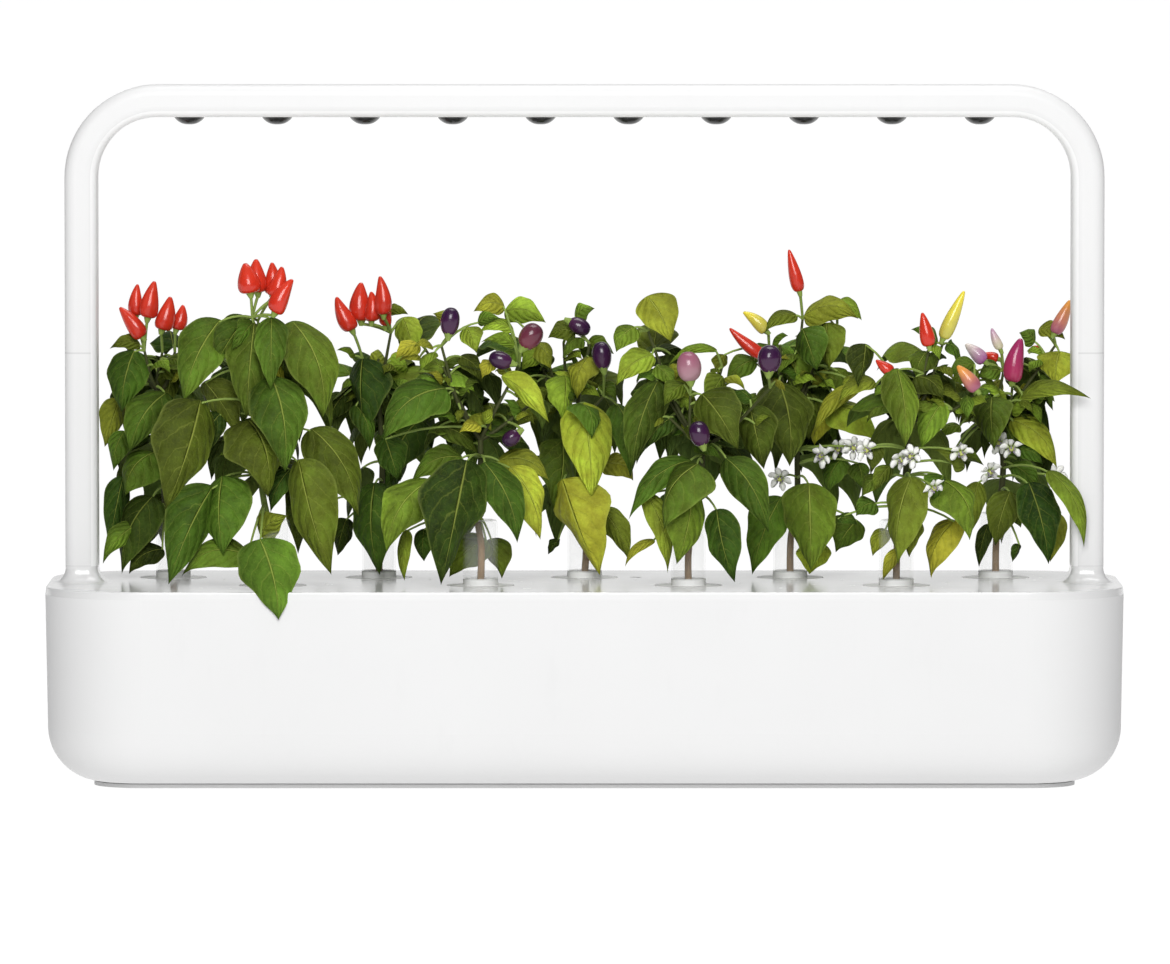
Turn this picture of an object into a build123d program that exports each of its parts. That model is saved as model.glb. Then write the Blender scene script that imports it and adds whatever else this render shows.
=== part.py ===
from build123d import *
import os
from math import cos, radians, sin

# A countertop hydroponic garden: a long tank, a lid with nine pods in two staggered rows,
# and a lamp arch that stands on two legs at the ends of the lid.
# Z points up, X runs along the garden, its front faces -Y, and the origin is the middle of
# the base, on the worktop. All lengths are in millimetres and all angles in degrees.

os.makedirs("parts", exist_ok=True)

# ---- Overall ----
overall_length = 612.0
overall_depth = 185.0
overall_height = 397.0
plan_radius = 56.0  # corners of the base, seen from above

# ---- Fits ----
fit = 0.1  # a spigot in its socket, on each side
seat_gap = 0.3  # a soft or curved piece and its seat
drop_in_gap = 0.4  # a pod in its well, on each side

# ---- Foot ----
foot_inset = 27.5  # from the side of the base to the side of the foot plate
foot_plate_height = 2.2
pad_proud = 0.6  # how far the pads stand out of the plate
pad_sink = 1.2  # how far they go into it
pad_radius = 8.0
pad_columns = 3
pad_rows = 2
pad_edge = 22.0  # from the plate's sides to the pads' centres

# ---- Tank ----
tank_wall = 2.6
wall_draft = 1.0  # degrees
belly_radius = 31.0  # the roll at the bottom of the wall
tank_bottom = pad_proud + foot_plate_height
tank_top = 109.0

# ---- Lid ----
rim_height = 4.5
rim_draft = 6.0  # degrees
rim_round = 1.0
deck_thickness = 2.4
skirt_gap = 0.6
skirt_thickness = 2.0
skirt_depth = 8.0
deck_top = tank_top + rim_height
deck_under = deck_top - deck_thickness
air_hole_radius = 0.9
air_hole_y = 16.0

# ---- Legs and arch ----
leg_width = 18.4
leg_depth = 32.0
leg_round = 6.0
leg_wall = 2.2
leg_setback = 10.2  # from the end of the base to the outside of the leg
strip_width = 3.5  # the inner strip of the legs and of the arch
collar_top = 123.0
collar_flare = 8.2
extension_top = 244.5
arch_radius = 43.5  # middle line of the corners
spigot_depth = 16.0
spigot_root = 10.0
spigot_wall = 2.0
socket_floor = 2.0
leg_x = overall_length / 2 - leg_setback - leg_width / 2
bar_z = overall_height - leg_width / 2
cavity_width = leg_width - 2 * leg_wall
cavity_depth = leg_depth - 2 * leg_wall
cavity_round = leg_round - leg_wall

# ---- Contacts in the right leg ----
contact_radius = 1.5
contact_spacing = 12.0
contact_lift = 1.2  # top of the lid's pins above the socket's floor

# ---- Lamp ----
lens_count = 10
lens_pitch = 50.0
lens_radius = 8.7
lens_waist_radius = 6.3
lens_tip_radius = 4.6
lens_lip = 0.5
lens_drop = 4.4  # below the strip
lens_flange_radius = cavity_depth / 2 - cavity_round - fit  # on the flat of the strip
lens_flange = 1.2
board_screw_count = 5  # every second gap between the lenses
chip_size = 3.5
chip_height = 1.0
chip_pocket_radius = 4.0
board_width = 18.0
board_thickness = 1.6
board_end = 14.0  # board beyond the centre of the last lens
spreader_width = 22.0
spreader_base = 1.5
fin_height = 3.0
fin_width = 1.4
fin_count = 5
lead_radius = 0.9

# ---- Pods ----
pod_count = 9
pod_pitch = 59.0  # along X, from one row to the other
row_setback = 59.5  # from the front and the rear of the base to each row
row_offset = overall_depth / 2 - row_setback  # each row, from the middle of the deck
cap_radius = 18.7
cap_thickness = 1.4
flange_thickness = 1.2
cup_radius = 16.6
cup_foot_radius = 13.5
cup_wall = 1.4
cup_height = 49.0
well_wall = 2.2
well_depth = 9.5
tube_radius = 9.9
tube_wall = 1.2
tube_height = 37.5
tube_shoulder = 2.6
wick_radius = 3.4
wick_reach = 9.0  # below the cup
weep_radius = 1.5
weep_circle = 8.5
weep_count = 4

# ---- Water float ----
float_x = pod_pitch / 2
float_y = row_offset
float_radius = 5.6
float_height = 14.0
float_travel = 34.0
flag_radius = 3.0
guide_wall = 1.2
guide_lip = 1.4

# ---- Dry box and inlet ----
inlet_to_leg = 109.6  # along X, from the inlet to the right leg's middle
inlet_x = leg_x - inlet_to_leg
inlet_z = 101.0
notch_radius = 7.0
boss_gap = 0.3
jack_radius = 4.0
jack_bore_radius = 2.8
jack_bore_depth = 9.5
jack_pin_radius = 1.05
jack_body = 9.6
jack_length = 13.0
box_floor = 96.0  # underside of the dry box's walls
box_wall = 2.0
box_before_inlet = 31.0
box_before_leg = 24.6
box_depth = 35.5  # from the rear of the base to the box's front
box_start_x = inlet_x - box_before_inlet
box_front_y = overall_depth / 2 - box_depth
box_leg_x = leg_x - box_before_leg
box_leg_front_y = -20.0
cover_thickness = 2.0
timer_past_inlet = 15.0
timer_inset = 9.5  # from the dry box's front
timer_x = inlet_x + timer_past_inlet
timer_y = box_front_y + timer_inset
timer_length = 44.0
timer_width = 18.0
timer_margin = 4.0  # from the board's end to its tallest parts
timer_parts_height = 4.0
lead_step = 5.0  # between the two leads under the lid
lead_turn = 16.0  # from the right leg's middle to where the leads turn to it
lead_bend = 5.0
screw_radius = 1.25
screw_head_radius = 2.4
screw_head_height = 1.2
screw_depth = 7.0
screw_boss_radius = 2.8
screw_inset = 6.0  # from the dry box's front and left sides to its screws
rear_screw_inset = 13.0  # from the rear of the base
middle_screw_x = 34.0  # from the inlet to the screw beyond it
leg_screw_x = 7.0  # from the right leg's middle to the screw behind it
leg_screw_y = 34.0

# ---- Plants ----
stem_radius = 2.6
branch_radius = 1.3
knot_swell = 0.5  # the stem and the branches are this much thicker where they part
rooting = 12.0  # depth of the stem in the growing medium
leaf_thickness = 0.9
stalk_radius = 0.9
stalk_root = 3.0  # how far a stalk runs into its blade
leaf_foot_share = 0.6  # how far a leaf's foot is to the rear, of its tip's
leaf_nod = 0.35  # how much a blade's face looks up, against how much it looks ahead
widest_share = 0.42  # where along its length a leaf is widest
belly_share = 0.4  # where along its length a fruit is widest
fruit_tip_share = 0.25  # the radius of a fruit's tip, of its widest
neighbour_gap = 1.6  # from a plant to the line between the rows
leg_gap = 2.6  # from a plant to the legs
deck_gap = 3.0  # from a plant's hanging leaves to the deck
tube_gap = 2.2  # and to the pod's tube
hang_slope = 0.75  # rise over run, from the root to the lowest that a leaf hangs
edge_gap = 2.0  # from a plant to the front and the rear of the base
# Places on a plant are given from its pod: along X, above the deck and, where there is a
# third number, towards the rear.
forks = ((-7, 106), (-6, 120), (0, 104), (0, 82), (-5, 86),
         (8, 78), (4, 98), (7, 94), (5, 88))
# The ends of each plant's branches
branch_ends = (
    (
        (-16, 130, -8), (-6, 130, 0), (1, 130, 4), (-22, 124, 8),
    ),
    (
        (-8, 150, -4), (-21, 130, 4), (10, 144, 4), (-11, 152, -10),
    ),
    (
        (-9, 126, -6), (3, 125, -5), (10, 120, 6), (7, 140, -2),
    ),
    (
        (-21, 124, -6), (-31, 134, 4), (22, 124, -4), (31, 104, 6),
    ),
    (
        (-12, 134, 4), (11, 104, -10), (-24, 120, 8), (3, 134, -6),
    ),
    (
        (-11, 96, -4), (-18, 116, 2), (-23, 144, 2), (46, 112, -8),
    ),
    (
        (7, 148, -2), (15, 122, 4), (-12, 130, 4), (-6, 134, -8),
    ),
    (
        (18, 134, -6), (26, 136, 2), (-2, 118, 4), (-12, 112, 8),
    ),
    (
        (-17, 94, 0), (4, 118, -4), (-5, 118, 4), (34, 134, -2),
    ),
)
# Each plant's larger leaves: foot X and height, tip X and height, width, and the tip's third number
main_leaves = (
    (
        (-12, 46, -29, 2, 21, -14), (-4, 106, -24, 72, 23, -20), (-22, 130, -29, 96, 22, -14),
        (-6, 46, -17, 14, 19, 6), (-11, 72, -27, 48, 21, -16), (-29, 56, -37, 14, 13, -2),
        (-31, 102, -43, 74, 13, 4), (-28, 84, -34, 62, 12, -6), (-1, 118, -6, 94, 11, 8),
        (-19, 134, -36, 132, 8, -8),
    ),
    (
        (-41, 104, -60, 44, 31, -26), (16, 70, 34, 8, 25, -26), (0, 118, 8, 66, 29, -34),
        (12, 148, 29, 96, 26, -18), (-34, 56, -58, 2, 24, -34), (-13, 94, -2, 52, 31, -30),
        (23, 88, 49, 40, 24, -12), (-10, 148, -14, 96, 24, -22), (-30, 150, -50, 104, 25, -14),
        (-28, 62, -27, 18, 26, -28), (17, 62, 14, 16, 16, 2), (0, 152, 0, 112, 17, -28),
        (-15, 152, -34, 120, 17, -6),
    ),
    (
        (-2, 54, 1, -2, 25, -22), (-9, 124, -7, 82, 21, -16), (23, 90, 7, 54, 20, -6),
        (-28, 44, -36, 12, 14, 10), (10, 74, 5, 44, 14, 8), (5, 84, 12, 54, 13, 0),
        (14, 148, 21, 126, 14, -4), (-13, 98, -5, 74, 10, -20), (-20, 104, -28, 88, 13, 4),
        (16, 120, 1, 118, 11, 0), (5, 152, 17, 150, 6, 6),
    ),
    (
        (-8, 70, -22, 0, 32, -38), (-28, 60, -53, 20, 24, -30), (-21, 112, -55, 84, 23, -22),
        (3, 70, 21, 26, 20, -24), (18, 66, 34, 26, 20, -10), (-11, 72, -39, 60, 15, -14),
        (13, 118, 39, 94, 12, -22), (11, 70, 39, 60, 14, -2), (-54, 82, -47, 60, 17, 6),
        (-24, 90, -1, 74, 12, 8), (13, 158, -4, 156, 11, -4), (-8, 146, -2, 132, 12, -18),
        (-14, 146, -27, 154, 11, -4),
    ),
    (
        (-12, 56, 9, 2, 26, -26), (-1, 100, 4, 46, 26, -30), (-13, 78, -18, 40, 21, -14),
        (19, 98, 26, 58, 14, -8), (-15, 100, -51, 80, 14, 10), (-11, 116, -13, 92, 16, -18),
        (-45, 152, -22, 146, 14, -10), (2, 126, -4, 104, 14, -20), (-3, 100, 4, 82, 15, -36),
        (11, 64, 28, 54, 12, 12), (-24, 130, -36, 120, 12, -8), (-27, 134, -19, 120, 11, -12),
        (-6, 140, -21, 138, 11, -6),
    ),
    (
        (-18, 114, -32, 66, 20, -12), (22, 72, 45, 32, 20, -26), (8, 108, 28, 78, 24, -30),
        (4, 70, -14, 34, 21, -34), (2, 54, -7, 14, 20, -26), (16, 44, 26, 4, 18, -30),
        (35, 100, 43, 66, 20, 6), (0, 70, -34, 38, 14, -20), (-23, 164, -10, 138, 21, -8),
        (-24, 52, -12, 8, 12, -8), (-21, 130, -41, 114, 14, -2), (-9, 96, -24, 78, 12, -4),
        (19, 118, 10, 104, 12, -8),
    ),
    (
        (-7, 112, -1, 66, 29, -34), (10, 54, 11, 6, 28, -38), (-6, 46, -22, -2, 20, -16),
        (24, 98, 51, 76, 17, -8), (21, 146, 22, 120, 17, -8), (7, 142, 15, 120, 18, -20),
        (9, 150, 39, 148, 14, -6), (39, 110, 13, 82, 9, -16), (3, 128, 5, 106, 14, -4),
        (10, 104, 11, 78, 12, 2), (-21, 124, -37, 110, 12, 0), (29, 68, 22, 48, 12, 0),
        (27, 118, 33, 104, 14, -4),
    ),
    (
        (7, 62, 0, 14, 21, -32), (0, 122, 4, 80, 18, -26), (26, 60, 41, 26, 20, -18),
        (26, 104, 14, 78, 15, -4), (-18, 136, -22, 112, 14, -8), (11, 118, 26, 106, 12, -12),
        (17, 132, 11, 118, 14, -6), (-13, 116, -33, 104, 9, 2), (26, 62, 20, 50, 14, -20),
        (38, 68, 21, 78, 9, -10), (-4, 68, -13, 54, 9, -10), (44, 126, 29, 118, 9, -2),
        (-12, 46, -23, 40, 11, -4),
    ),
    (
        (18, 54, 29, 10, 21, -32), (-3, 104, -2, 74, 20, -30), (10, 90, 35, 62, 15, -4),
        (7, 50, -1, 20, 17, -22), (29, 62, 48, 20, 11, -40), (36, 130, 34, 112, 21, -8),
        (-11, 54, -16, 24, 12, -2), (14, 106, 52, 106, 9, -26), (-17, 110, -9, 88, 11, -2),
        (10, 64, 25, 50, 11, -12), (-11, 118, -25, 110, 11, -2), (25, 142, 42, 136, 9, -4),
        (-25, 70, -7, 64, 8, -8),
    ),
)
# Each plant's fruit: stalk end X and height, tip X and height, width, and third number
fruits = (
    (
        (-17, 138, -30, 156, 10, -10), (-21, 150, -20, 168, 8, -4), (-14, 150, -10, 170, 10, -10),
        (-6, 142, -1, 162, 11, -8), (2, 142, 6, 156, 9, -2),
    ),
    (
        (-12, 166, -15, 184, 13, -14), (-8, 166, -9, 186, 11, -6), (0, 166, 0, 184, 10, -4),
        (1, 164, 6, 182, 10, -14), (2, 156, 12, 174, 10, -18),
    ),
    (
        (-15, 142, -24, 162, 10, -12), (-10, 148, -10, 170, 12, -4), (-4, 148, -4, 164, 9, -10),
        (3, 152, 1, 174, 10, -14), (4, 144, 6, 162, 7, -4),
    ),
    (
        (-18, 142, -16, 158, 11, -16), (18, 126, 5, 130, 10, -12), (24, 136, 33, 148, 13, -14),
        (22, 88, 13, 80, 9, -8),
    ),
    (
        (-9, 148, 3, 142, 10, -10), (11, 120, 9, 136, 11, -26),
    ),
    (
        (1, 116, -1, 134, 14, -16), (8, 80, 4, 94, 12, -26), (45, 122, 46, 138, 14, -22),
    ),
    (
        (5, 164, -1, 188, 8, -8), (-14, 142, -27, 152, 8, -2), (-16, 128, -35, 144, 8, -10),
    ),
    (
        (18, 136, 14, 156, 8, -14), (26, 140, 38, 168, 8, -8), (-3, 122, -12, 128, 7, -12),
        (45, 112, 34, 126, 9, -14),
    ),
    (
        (-7, 124, -18, 134, 8, -12), (2, 132, -3, 144, 5, -10), (9, 112, 14, 138, 11, -6),
        (1, 126, -8, 128, 6, -2), (33, 140, 42, 160, 8, -8),
    ),
)

# Planes and small helpers


def level(height):
    """The horizontal plane at a height."""
    return Plane.XY.offset(height)


def facing_rear(y):
    """An upright plane at Y, with the garden's X and Z as its axes."""
    return Plane((0, y, 0), x_dir=(1, 0, 0), z_dir=(0, -1, 0))


def below(height):
    """A horizontal plane that faces down."""
    return Plane((0, 0, height), x_dir=(1, 0, 0), z_dir=(0, 0, -1))


def upright_at(place):
    """An upright plane through a vertical axis: local X is the radius, local Y the height."""
    return Plane((place[0], place[1], 0), x_dir=(1, 0, 0), z_dir=(0, -1, 0))


def save(builder, name):
    """Label a finished piece and write it."""
    builder.part.label = name
    export_step(builder.part, f"parts/{name}.step")


# ---- Base ----


def rounded_tub(inset, top, bottom):
    """The base's outline, taken in by an inset, narrowing downwards and rolling under."""
    with BuildPart() as tub:
        with BuildSketch(below(top)):
            RectangleRounded(
                overall_length - 2 * inset, overall_depth - 2 * inset, plan_radius - inset
            )
        extrude(amount=top - bottom, taper=wall_draft)
        fillet(tub.edges().group_by(Axis.Z)[0], belly_radius - inset)
    return tub.part


tub_outside = rounded_tub(0, tank_top, tank_bottom)
tub_inside = rounded_tub(tank_wall, tank_top, tank_bottom + tank_wall)

with BuildPart() as tank_shell:
    add(tub_outside)
    add(tub_inside, mode=Mode.SUBTRACT)
    with BuildSketch(facing_rear(overall_depth / 2 + tank_wall)):
        with Locations((inlet_x, inlet_z)):
            Circle(notch_radius)
        with Locations((inlet_x, tank_top)):
            Rectangle(2 * notch_radius, tank_top - inlet_z, align=(Align.CENTER, Align.MAX))
    extrude(amount=3 * tank_wall, mode=Mode.SUBTRACT)

foot_length = overall_length - 2 * foot_inset
foot_depth = overall_depth - 2 * foot_inset
pad_pitch_x = (foot_length - 2 * pad_edge) / (pad_columns - 1)
pad_pitch_y = foot_depth - 2 * pad_edge

with BuildPart() as foot_plate:
    with BuildSketch(level(pad_proud)):
        RectangleRounded(foot_length, foot_depth, plan_radius - foot_inset)
    extrude(amount=foot_plate_height)
    with BuildSketch(level(pad_proud)):
        with GridLocations(pad_pitch_x, pad_pitch_y, pad_columns, pad_rows):
            Circle(pad_radius + fit)
    extrude(amount=pad_sink, mode=Mode.SUBTRACT)

with BuildPart() as rubber_feet:
    with BuildSketch():
        with GridLocations(pad_pitch_x, pad_pitch_y, pad_columns, pad_rows):
            Circle(pad_radius)
    extrude(amount=pad_proud + pad_sink)

# ---- Legs: one section runs up both legs and over the arch ----


def leg_section(at, strip=False):
    """The wall of the legs and the arch: its outer channel, or the strip that closes it."""
    split_at = strip_width - leg_width / 2
    with BuildSketch(at) as section:
        RectangleRounded(leg_width, leg_depth, leg_round)
        RectangleRounded(cavity_width, cavity_depth, cavity_round, mode=Mode.SUBTRACT)
        side = Align.MAX if strip else Align.MIN
        with Locations((split_at, 0)):
            Rectangle(leg_width, leg_depth, align=(side, Align.CENTER), mode=Mode.INTERSECT)
    return section.sketch


def leg_plane(side, height):
    """The section's plane in a leg: its local X points out of the arch. side is 1 or -1."""
    return Plane((side * leg_x, 0, height), x_dir=(side, 0, 0), z_dir=(0, 0, 1))


def contact_circles(height):
    """The outline of both contacts in the right leg, at a height."""
    with BuildSketch(leg_plane(1, height)) as circles:
        with GridLocations(0, contact_spacing, 1, 2):
            Circle(contact_radius)
    return circles.sketch


def channel_plug(side, bottom, height):
    """A block that fills the inside of the outer channel over a short height."""
    with BuildPart() as plug:
        with BuildSketch(leg_plane(side, bottom)):
            RectangleRounded(cavity_width, cavity_depth, cavity_round)
            with Locations((strip_width - leg_width / 2, 0)):
                Rectangle(leg_width, leg_depth, align=(Align.MIN, Align.CENTER),
                          mode=Mode.INTERSECT)
        extrude(amount=height)
    return plug.part


def leg_spigot(side, bottom, top):
    """A hollow plug that fills the channel up to top and hangs out of it down to bottom."""
    with BuildPart() as plug:
        with BuildSketch(leg_plane(side, bottom)):
            RectangleRounded(cavity_width - 2 * fit, cavity_depth - 2 * fit, cavity_round)
        extrude(amount=top + spigot_root - bottom)
        add(channel_plug(side, top, spigot_root))
        with BuildSketch(leg_plane(side, bottom + socket_floor)):
            RectangleRounded(
                cavity_width - 2 * spigot_wall,
                cavity_depth - 2 * spigot_wall,
                cavity_round - spigot_wall / 2,
            )
        extrude(amount=top + spigot_root - bottom, mode=Mode.SUBTRACT)
        if side > 0:
            extrude(contact_circles(bottom), amount=socket_floor, mode=Mode.SUBTRACT)
    return plug.part


socket_bottom = collar_top - spigot_depth - socket_floor - contact_lift - fit
lid_pin_top = socket_bottom + socket_floor + contact_lift
extension_foot = lid_pin_top
arch_foot = extension_top - spigot_depth

# ---- Lid ----

pod_places = [
    ((n - (pod_count - 1) / 2) * pod_pitch, row_offset if n % 2 == 0 else -row_offset)
    for n in range(pod_count)
]
air_hole_places = [
    ((n - (pod_count - 2) / 2) * pod_pitch, air_hole_y * (-1) ** n) for n in range(pod_count - 1)
]
collar_planes = [leg_plane(side, deck_top) for side in (-1, 1)]
skirt_inset = tank_wall + skirt_gap
pocket_inset = skirt_inset + skirt_thickness
guide_radius = float_radius + guide_wall + drop_in_gap
float_bottom = deck_top - float_height - float_travel - 2 * flag_radius
guide_bottom = float_bottom - guide_lip


def base_outline(inset, mode=Mode.ADD):
    """The base's plan outline, taken in by an inset, for use in a sketch."""
    RectangleRounded(
        overall_length - 2 * inset, overall_depth - 2 * inset, plan_radius - inset, mode=mode
    )


def dry_box_outline(height, inset):
    """The L-shaped dry box under the lid, from the inlet to the right collar."""
    corner = (Align.MIN, Align.MIN)
    with BuildSketch(level(height)) as outline:
        with Locations((box_start_x + inset, box_front_y + inset)):
            Rectangle(overall_length, overall_depth, align=corner)
        with Locations((box_leg_x + inset, box_leg_front_y + inset)):
            Rectangle(overall_length, overall_depth, align=corner)
        base_outline(skirt_inset + inset, mode=Mode.INTERSECT)
    return outline.sketch


box_screws = [
    (box_start_x + screw_inset, box_front_y + screw_inset),
    (box_start_x + screw_inset, overall_depth / 2 - rear_screw_inset),
    (inlet_x + middle_screw_x, box_front_y + screw_inset),
    (leg_x + leg_screw_x, leg_screw_y),
    (box_leg_x + screw_inset, box_leg_front_y + screw_inset),
]

with BuildPart() as lid:
    # The deck and its rim
    with BuildSketch(level(tank_top)):
        base_outline(0)
    extrude(amount=rim_height, taper=rim_draft)
    fillet(lid.edges().group_by(Axis.Z)[-1], rim_round)
    with BuildSketch(level(tank_top)):
        base_outline(pocket_inset)
    extrude(amount=rim_height - deck_thickness, mode=Mode.SUBTRACT)
    # The collars and their flare
    for plane in collar_planes:
        with BuildSketch(plane):
            RectangleRounded(leg_width, leg_depth, leg_round)
        extrude(amount=collar_top - deck_top)
        foot_edges = lid.edges(Select.LAST).filter_by_position(
            Axis.Z, deck_top - fit, deck_top + fit
        )
        fillet(foot_edges, collar_flare)
    # The skirt that sits inside the tank
    with BuildSketch(level(tank_top - skirt_depth)):
        base_outline(skirt_inset)
        base_outline(pocket_inset, mode=Mode.SUBTRACT)
    extrude(amount=skirt_depth)
    # The wells, the float's guide, the sockets and the dry box under the deck
    with BuildSketch(level(deck_top - well_depth)):
        with Locations(*pod_places):
            Circle(cup_radius + drop_in_gap + well_wall)
    extrude(amount=well_depth - cap_thickness)
    with BuildSketch(level(guide_bottom)):
        with Locations((float_x, float_y)):
            Circle(guide_radius)
    extrude(amount=deck_under - guide_bottom)
    extrude(dry_box_outline(box_floor, 0), amount=deck_under - box_floor)
    extrude(
        dry_box_outline(box_floor, box_wall), amount=deck_under - box_floor, mode=Mode.SUBTRACT
    )
    with BuildSketch(level(socket_bottom)):
        with Locations((leg_x, 0), (-leg_x, 0)):
            RectangleRounded(leg_width, leg_depth, leg_round)
    extrude(amount=deck_under - socket_bottom)
    with BuildSketch(level(box_floor)):
        with Locations(*box_screws):
            Circle(screw_boss_radius)
    extrude(amount=deck_under - box_floor)
    # The boss that fills the tank's notch
    with BuildSketch(facing_rear(overall_depth / 2 - tank_wall / 4)):
        with Locations((inlet_x, inlet_z)):
            Circle(notch_radius - boss_gap)
        with Locations((inlet_x, tank_top)):
            Rectangle(2 * (notch_radius - boss_gap), tank_top - inlet_z,
                      align=(Align.CENTER, Align.MAX))
    extrude(amount=skirt_inset)
    # Openings
    with BuildSketch(level(deck_top - cap_thickness - flange_thickness)):
        with Locations(*pod_places):
            Circle(cap_radius + drop_in_gap)
    extrude(amount=rim_height, mode=Mode.SUBTRACT)
    with BuildSketch(level(deck_top - well_depth)):
        with Locations(*pod_places):
            Circle(cup_radius + drop_in_gap)
    extrude(amount=well_depth, mode=Mode.SUBTRACT)
    with BuildSketch(level(deck_under)):
        with Locations(*air_hole_places):
            Circle(air_hole_radius)
    extrude(amount=deck_thickness, mode=Mode.SUBTRACT)
    with BuildSketch(level(float_bottom)):
        with Locations((float_x, float_y)):
            Circle(guide_radius - guide_wall)
    extrude(amount=deck_under - float_bottom, mode=Mode.SUBTRACT)
    with BuildSketch(level(guide_bottom)):
        with Locations((float_x, float_y)):
            Circle(flag_radius + drop_in_gap)
    extrude(amount=deck_top - guide_bottom, mode=Mode.SUBTRACT)
    with BuildSketch(level(socket_bottom + socket_floor)):
        with Locations((leg_x, 0), (-leg_x, 0)):
            RectangleRounded(cavity_width, cavity_depth, cavity_round)
    extrude(amount=collar_top - socket_bottom, mode=Mode.SUBTRACT)
    extrude(contact_circles(socket_bottom), amount=socket_floor, mode=Mode.SUBTRACT)
    with BuildSketch(facing_rear(overall_depth / 2)):
        with Locations((inlet_x, inlet_z)):
            Circle(jack_radius + fit)
    extrude(amount=skirt_inset + box_wall, mode=Mode.SUBTRACT)
    with BuildSketch(level(box_floor)):
        with Locations(*box_screws):
            Circle(screw_radius)
    extrude(amount=screw_depth, mode=Mode.SUBTRACT)

with BuildPart() as dry_box_cover:
    extrude(
        dry_box_outline(box_floor - cover_thickness, box_wall / 2), amount=cover_thickness
    )
    with BuildSketch(level(box_floor - cover_thickness)):
        with Locations(*box_screws):
            Circle(screw_radius + fit)
    extrude(amount=cover_thickness, mode=Mode.SUBTRACT)

with BuildPart() as cover_screws:
    with BuildSketch(level(box_floor - cover_thickness - screw_head_height)):
        with Locations(*box_screws):
            Circle(screw_head_radius)
    extrude(amount=screw_head_height)
    with BuildSketch(level(box_floor - cover_thickness)):
        with Locations(*box_screws):
            Circle(screw_radius)
    extrude(amount=cover_thickness + screw_depth - seat_gap)

# ---- Power inlet, timer board and their leads ----

box_rear_y = overall_depth / 2 - skirt_inset - box_wall
jack_face_y = overall_depth / 2 - tank_wall / 4

with BuildPart() as power_inlet:
    with BuildSketch(facing_rear(jack_face_y)):
        with Locations((inlet_x, inlet_z)):
            Circle(jack_radius)
    extrude(amount=jack_face_y - box_rear_y)
    with BuildSketch(facing_rear(box_rear_y)):
        with Locations((inlet_x, inlet_z)):
            RectangleRounded(jack_body, jack_body, jack_body / 8)
    extrude(amount=jack_length)
    with BuildSketch(facing_rear(jack_face_y)):
        with Locations((inlet_x, inlet_z)):
            Circle(jack_bore_radius)
            Circle(jack_pin_radius, mode=Mode.SUBTRACT)
    extrude(amount=jack_bore_depth, mode=Mode.SUBTRACT)

timer_parts_x = timer_x + timer_length - timer_margin

with BuildPart() as timer_board:
    with BuildSketch(level(box_floor)):
        with Locations((timer_x, timer_y)):
            Rectangle(timer_length, timer_width, align=(Align.MIN, Align.MIN))
    extrude(amount=board_thickness)
    with BuildSketch(level(box_floor + board_thickness)):
        with Locations((timer_parts_x, timer_y + timer_width / 2)):
            Rectangle(timer_length / 2, timer_width - timer_margin, align=(Align.MAX, Align.CENTER))
        with Locations((timer_x + timer_length / 5, timer_y + timer_width / 2)):
            Circle(timer_parts_height)
    extrude(amount=timer_parts_height)

pin_tail = socket_bottom - 2 * contact_radius
lead_z = pin_tail - lead_radius - seat_gap / 2


def tube_along(path, radius):
    """A round lead along a path that starts at the path's first point."""
    with BuildPart() as lead:
        with BuildSketch(Plane(origin=path @ 0, z_dir=path % 0)):
            Circle(radius)
        sweep(path=path)
    return lead.part


def lid_lead_path(side):
    """The way of one of the two leads, from the timer board to a pin under the right leg."""
    board_y = timer_y + timer_width / 2 + side * lead_step / 2
    turn_x = leg_x - lead_turn + side * lead_step
    pin_y = side * contact_spacing / 2
    return FilletPolyline(
        (timer_parts_x, board_y, lead_z),
        (turn_x, board_y, lead_z),
        (turn_x, pin_y, lead_z),
        (leg_x, pin_y, lead_z),
        radius=lead_bend,
    )


lid_lead_paths = [lid_lead_path(side) for side in (-1, 1)]

with BuildPart() as lid_leads:
    for path in lid_lead_paths:
        add(tube_along(path, lead_radius))

with BuildPart() as lid_pins:
    extrude(contact_circles(pin_tail), amount=lid_pin_top - pin_tail)

# ---- Water float ----

with BuildPart() as water_float:
    with BuildSketch(level(float_bottom)):
        with Locations((float_x, float_y)):
            Circle(float_radius)
    extrude(amount=float_height)
    fillet(water_float.edges().filter_by(GeomType.CIRCLE), guide_wall)
    with BuildSketch(level(float_bottom + float_height)):
        with Locations((float_x, float_y)):
            Circle(flag_radius)
    extrude(amount=2 * flag_radius)

# ---- Extension legs ----


def extension(side):
    """One lower leg: the outer channel, its spigot, and in the right leg the rods' bridge."""
    bridge = arch_foot - spigot_root
    with BuildPart() as leg:
        extrude(leg_section(leg_plane(side, collar_top)), amount=extension_top - collar_top)
        add(leg_spigot(side, extension_foot, collar_top))
        if side > 0:
            add(channel_plug(side, bridge, socket_floor))
            extrude(contact_circles(bridge), amount=socket_floor, mode=Mode.SUBTRACT)
    return leg


left_extension = extension(-1)
right_extension = extension(1)

with BuildPart() as extension_strips:
    for side in (-1, 1):
        extrude(
            leg_section(leg_plane(side, collar_top), strip=True),
            amount=extension_top - collar_top,
        )

with BuildPart() as extension_rods:
    extrude(contact_circles(extension_foot), amount=arch_foot - extension_foot)

# ---- Lamp arch ----

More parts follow.
